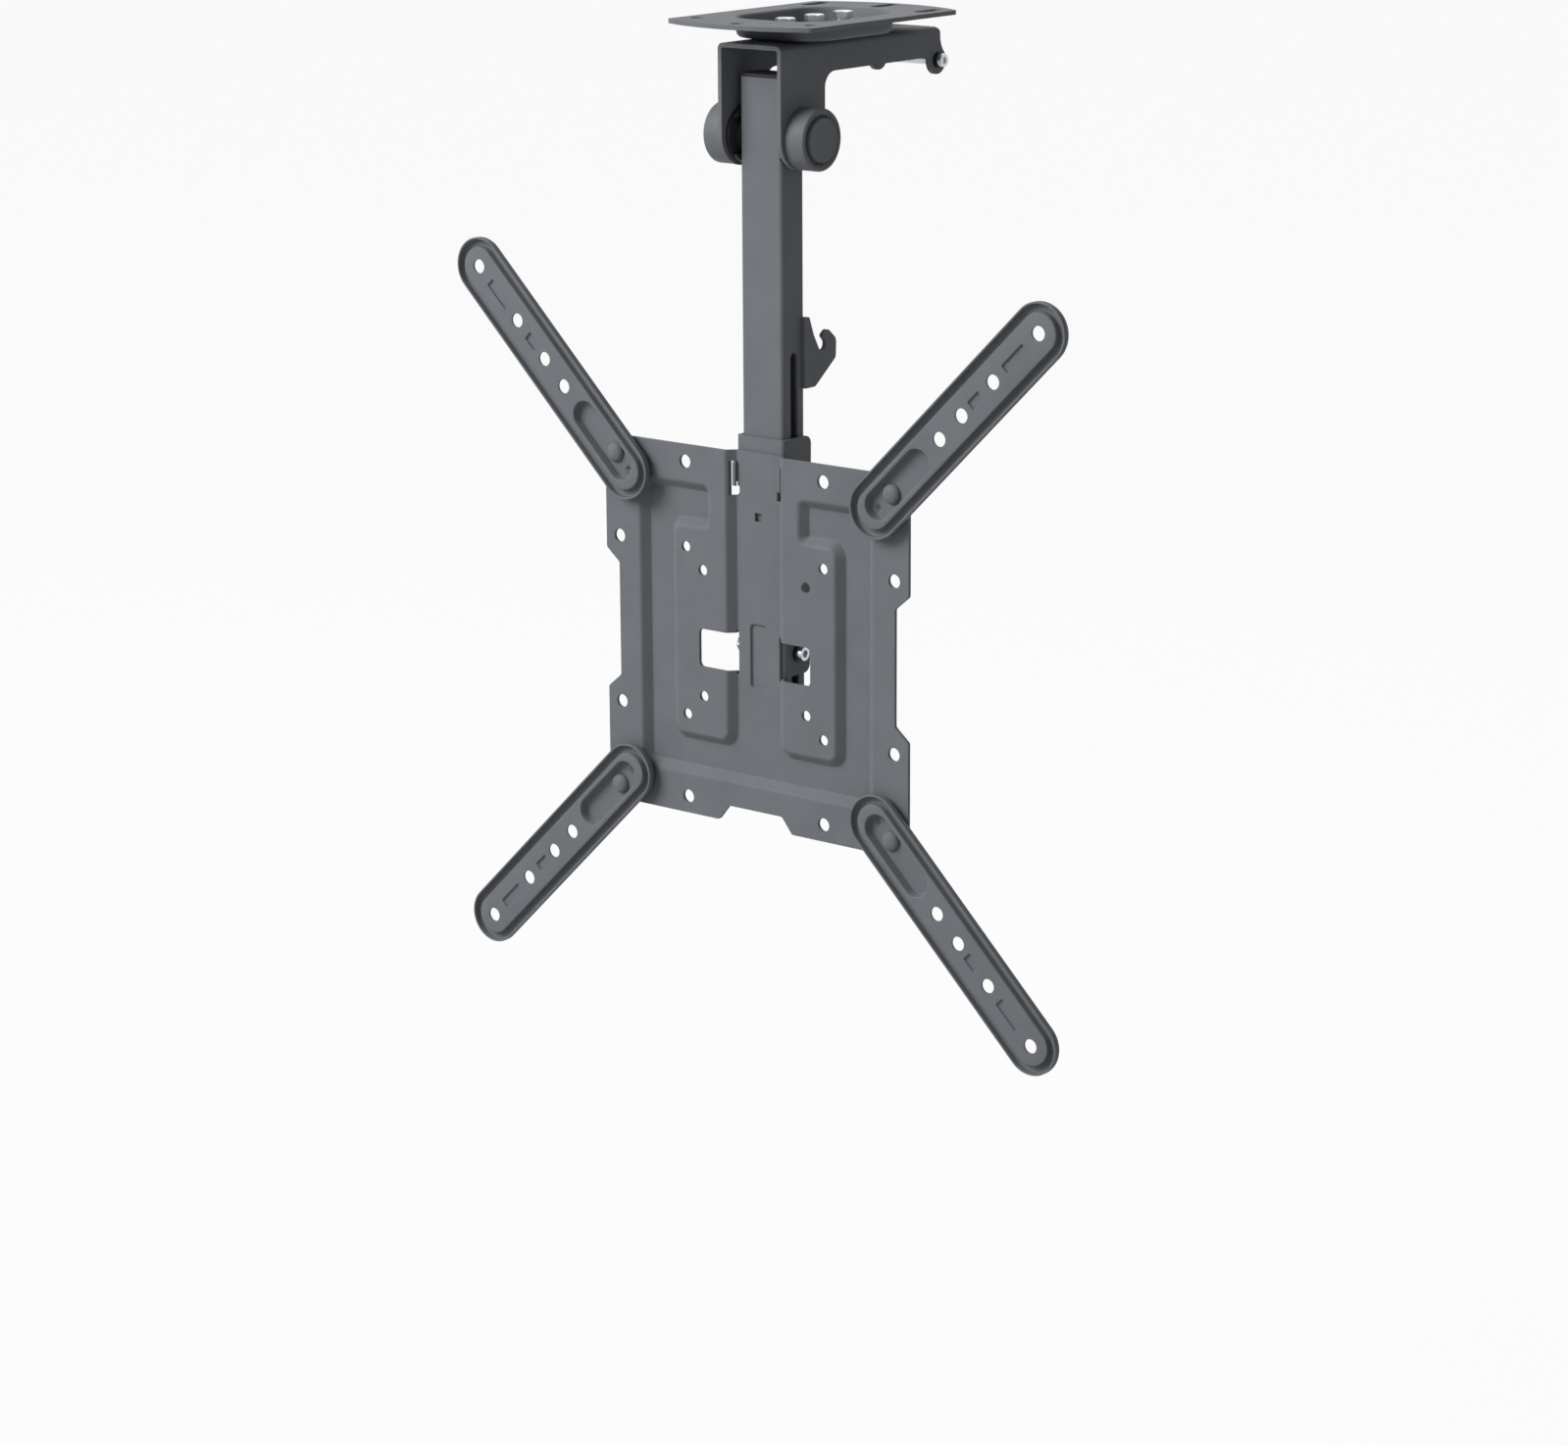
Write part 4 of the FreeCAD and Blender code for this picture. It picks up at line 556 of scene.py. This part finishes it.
def rim_verts(shape, vert, origin, along, across):
    """A point of the floor's edge, and new points outwards from it along the rim's section."""
    spot = np.array(vert.co) / MM - origin
    u, w = spot @ along, spot @ across
    near = min(max(u, ARM_TAIL), ARM_END)
    out_u, out_w = np.array((u - near, w)) / math.hypot(u - near, w)
    verts = [vert]
    for distance, level in RIM:
        place = origin + along * (near + out_u * distance) + across * out_w * distance
        verts.append(shape.verts.new((place + np.array(BACK) * level) * MM))
    return verts


def fine_arm(node, side_x, side_z):
    """An arm with its pan and holes as in the solid, a thinner floor and the grooved rim of the real one."""
    angle = math.atan2(side_z, side_x)
    along = np.array((math.cos(angle), 0, math.sin(angle)))
    across = np.array((-math.sin(angle), 0, math.cos(angle)))
    origin = np.array((side_x * RIVET_AT, ARM_REAR, PLATE_Z + side_z * RIVET_AT))

    # The solid's points in the arm's frame, and their distance from its middle line
    shape = welded(node)
    local = points_of(shape) - origin
    u, w, y = local @ along, local @ across, local[:, 1]
    near = np.clip(u, ARM_TAIL, ARM_END)
    distance = np.hypot(u - near, w)
    flat = (np.abs(y - FLOOR_FRONT) < ON_FRONT) & (distance < REAR_HALF)
    floor_edge = distance[flat].max()
    rear_ring = (np.abs(y - FLOOR_REAR) < ON_LEVEL) & (np.abs(distance - REAR_HALF) < ON_RING)

    # The floor's rear face gets narrower and moves forward
    pull = np.where(rear_ring, REAR_EDGE / np.maximum(distance, TINY), 1.0)
    u, w, y = sunk_marks(near + (u - near) * pull, w * pull, y)
    y = np.where(np.abs(y - FLOOR_REAR) < ON_LEVEL, THIN_REAR, y)
    move_points(shape, origin + np.outer(u, along) + np.outer(w, across) + np.outer(y, BACK))

    # The solid's rim goes, and the new one grows from the floor's edge
    verts = list(shape.verts)
    edge_verts = {vert for vert, on, d in zip(verts, flat, distance) if on and d > floor_edge - ON_LEVEL}
    gone = (distance > floor_edge + ON_LEVEL) & ~rear_ring
    bmesh.ops.delete(shape, geom=[vert for vert, out in zip(verts, gone) if out], context="VERTS")
    rings = {}
    for edge in [edge for edge in shape.edges if edge.is_boundary and set(edge.verts) <= edge_verts]:
        for vert in edge.verts:
            if vert not in rings:
                rings[vert] = rim_verts(shape, vert, origin, along, across)
        one, other = (rings[vert] for vert in edge.verts)
        for k in range(len(RIM)):
            shape.faces.new((one[k], other[k], other[k + 1], one[k + 1]))
    bmesh.ops.bridge_loops(shape, edges=[edge for edge in shape.edges if edge.is_boundary])
    return finished(bpy.data.meshes.new(node + "_fine"), shape)


def fine_bracket():
    """The bracket with legs whose round ends reach as low as the caps."""
    shape = welded("bracket")
    places = points_of(shape)
    y, z = places[:, 1], places[:, 2]
    below = (z < PIVOT_Z) & (np.hypot(y - PIVOT_Y, z - PIVOT_Z) > LEG_KEPT)
    places[:, 2] = np.where(below, PIVOT_Z + (z - PIVOT_Z) * LEG_END / LEG_ROUND, z)
    move_points(shape, places)
    return finished(bpy.data.meshes.new("bracket_fine"), shape)


def sheet():
    """The four arms and the bracket."""
    for name, side_x, side_z in ARMS:
        stand_in("arm_" + name, fine_arm("arm_" + name, side_x, side_z))
    stand_in("bracket", fine_bracket())


# --- studio ----------------------------------------------------------------------------------------------

FLOOR_Z = -0.90
FLOOR_SIZE = 160.0
FLOOR_COLOUR = (0.62, 0.62, 0.62, 1)
FLOOR_ROUGHNESS = 0.9
FLOOR_WHITE = 0.94                      # share of plain white that the camera sees in the floor
WORLD_WHITE = 0.947                     # as the far floor looks, so that no horizon shows
WORLD_LIGHT = 0.24
WHITE = (1, 1, 1, 1)

# Each lamp's place, its size, and the share of white that a white surface facing it gets from it at LIT_AT
LIT_AT = (0.0, 0.03, -0.22)
LAMPS = (("key", (-1.9, -2.5, 1.8), 2.4, 1.30),
         ("fill", (2.6, -1.4, 0.4), 2.0, 0.06),
         ("back", (-0.8, 2.4, 1.5), 1.8, 0.16))

# The photograph's camera, fitted without lens shift to the centres of the screen hole grids
IMAGE_WIDTH = 1599
FOCAL_PX = 4198.1
SENSOR_MM = 36.0
CAMERA_AT = Vector((1432.2, -1793.76, 211.83)) * MM
CAMERA_RIGHT = Vector((0.78625, 0.61789, -0.00482))
CAMERA_UP = Vector((-0.15565, 0.2056, 0.96618))
CLIP_END = 400.0


def seen_rays(tree):
    """1 for camera, glossy and transmission rays, which see the white studio."""
    path = tree.nodes.new("ShaderNodeLightPath")
    total = path.outputs["Is Camera Ray"]
    for name in ("Is Glossy Ray", "Is Transmission Ray"):
        most = tree.nodes.new("ShaderNodeMath")
        most.operation = "MAXIMUM"
        tree.links.new(total, most.inputs[0])
        tree.links.new(path.outputs[name], most.inputs[1])
        total = most.outputs["Value"]
    return total


def switched(tree, factor, lit, seen, output):
    """Sends the shader lit to the output where the factor is 0, and the shader seen where it is 1."""
    mix = tree.nodes.new("ShaderNodeMixShader")
    tree.links.new(factor, mix.inputs["Fac"])
    tree.links.new(lit, mix.inputs[1])
    tree.links.new(seen, mix.inputs[2])
    tree.links.new(mix.outputs["Shader"], tree.nodes[output].inputs["Surface"])


def stage():
    """A wide pale floor. It looks nearly white and keeps the object's shadow."""
    bpy.ops.mesh.primitive_plane_add(size=FLOOR_SIZE, location=(0, 0, FLOOR_Z))
    floor = bpy.context.object
    floor.name = "floor"
    made, tree, shader = material("floor")
    shader.inputs["Base Color"].default_value = FLOOR_COLOUR
    shader.inputs["Roughness"].default_value = FLOOR_ROUGHNESS
    shader.inputs["Specular IOR Level"].default_value = 0.0
    white = tree.nodes.new("ShaderNodeEmission")
    white.inputs["Strength"].default_value = 1.0
    share = tree.nodes.new("ShaderNodeMath")
    share.operation = "MULTIPLY"
    share.inputs[1].default_value = FLOOR_WHITE
    tree.links.new(seen_rays(tree), share.inputs[0])
    switched(tree, share.outputs["Value"], shader.outputs["BSDF"], white.outputs["Emission"],
             "Material Output")
    floor.data.materials.append(made)


def world():
    """White to the camera and in reflections, and a soft even light on the object."""
    made = bpy.data.worlds.new("studio")
    bpy.context.scene.world = made
    made.use_nodes = True
    tree = made.node_tree
    lit = tree.nodes["Background"]
    lit.inputs["Color"].default_value = WHITE
    lit.inputs["Strength"].default_value = WORLD_LIGHT
    seen = tree.nodes.new("ShaderNodeBackground")
    seen.inputs["Color"].default_value = WHITE
    seen.inputs["Strength"].default_value = WORLD_WHITE
    switched(tree, seen_rays(tree), lit.outputs["Background"], seen.outputs["Background"],
             "World Output")


def area_lamp(name, place, size, share):
    """A square lamp that lights a facing white surface to the given share of white."""
    aim = Vector(LIT_AT) - Vector(place)
    lamp = bpy.data.lights.new(name, "AREA")
    lamp.energy = share * (math.pi * aim.length) ** 2
    lamp.size = size
    thing = bpy.data.objects.new(name, lamp)
    bpy.context.scene.collection.objects.link(thing)
    thing.location = place
    thing.rotation_euler = aim.to_track_quat("-Z", "Y").to_euler()


def camera():
    """The camera, placed and turned as the photograph's."""
    right = CAMERA_RIGHT.normalized()
    up = (CAMERA_UP - right * CAMERA_UP.dot(right)).normalized()
    back = right.cross(up)
    seen = bpy.data.cameras.new("camera")
    seen.sensor_fit = "HORIZONTAL"
    seen.sensor_width = SENSOR_MM
    seen.lens = FOCAL_PX / IMAGE_WIDTH * SENSOR_MM
    seen.clip_end = CLIP_END
    thing = bpy.data.objects.new("camera", seen)
    bpy.context.scene.collection.objects.link(thing)
    turn = Matrix((right, up, back)).transposed().to_4x4()
    thing.matrix_world = Matrix.Translation(CAMERA_AT) @ turn
    bpy.context.scene.camera = thing


def main():
    bpy.context.scene.view_settings.view_transform = "Standard"
    paint_nodes()
    screws()
    caps()
    sheet()
    stage()
    world()
    for lamp in LAMPS:
        area_lamp(*lamp)
    camera()


main()
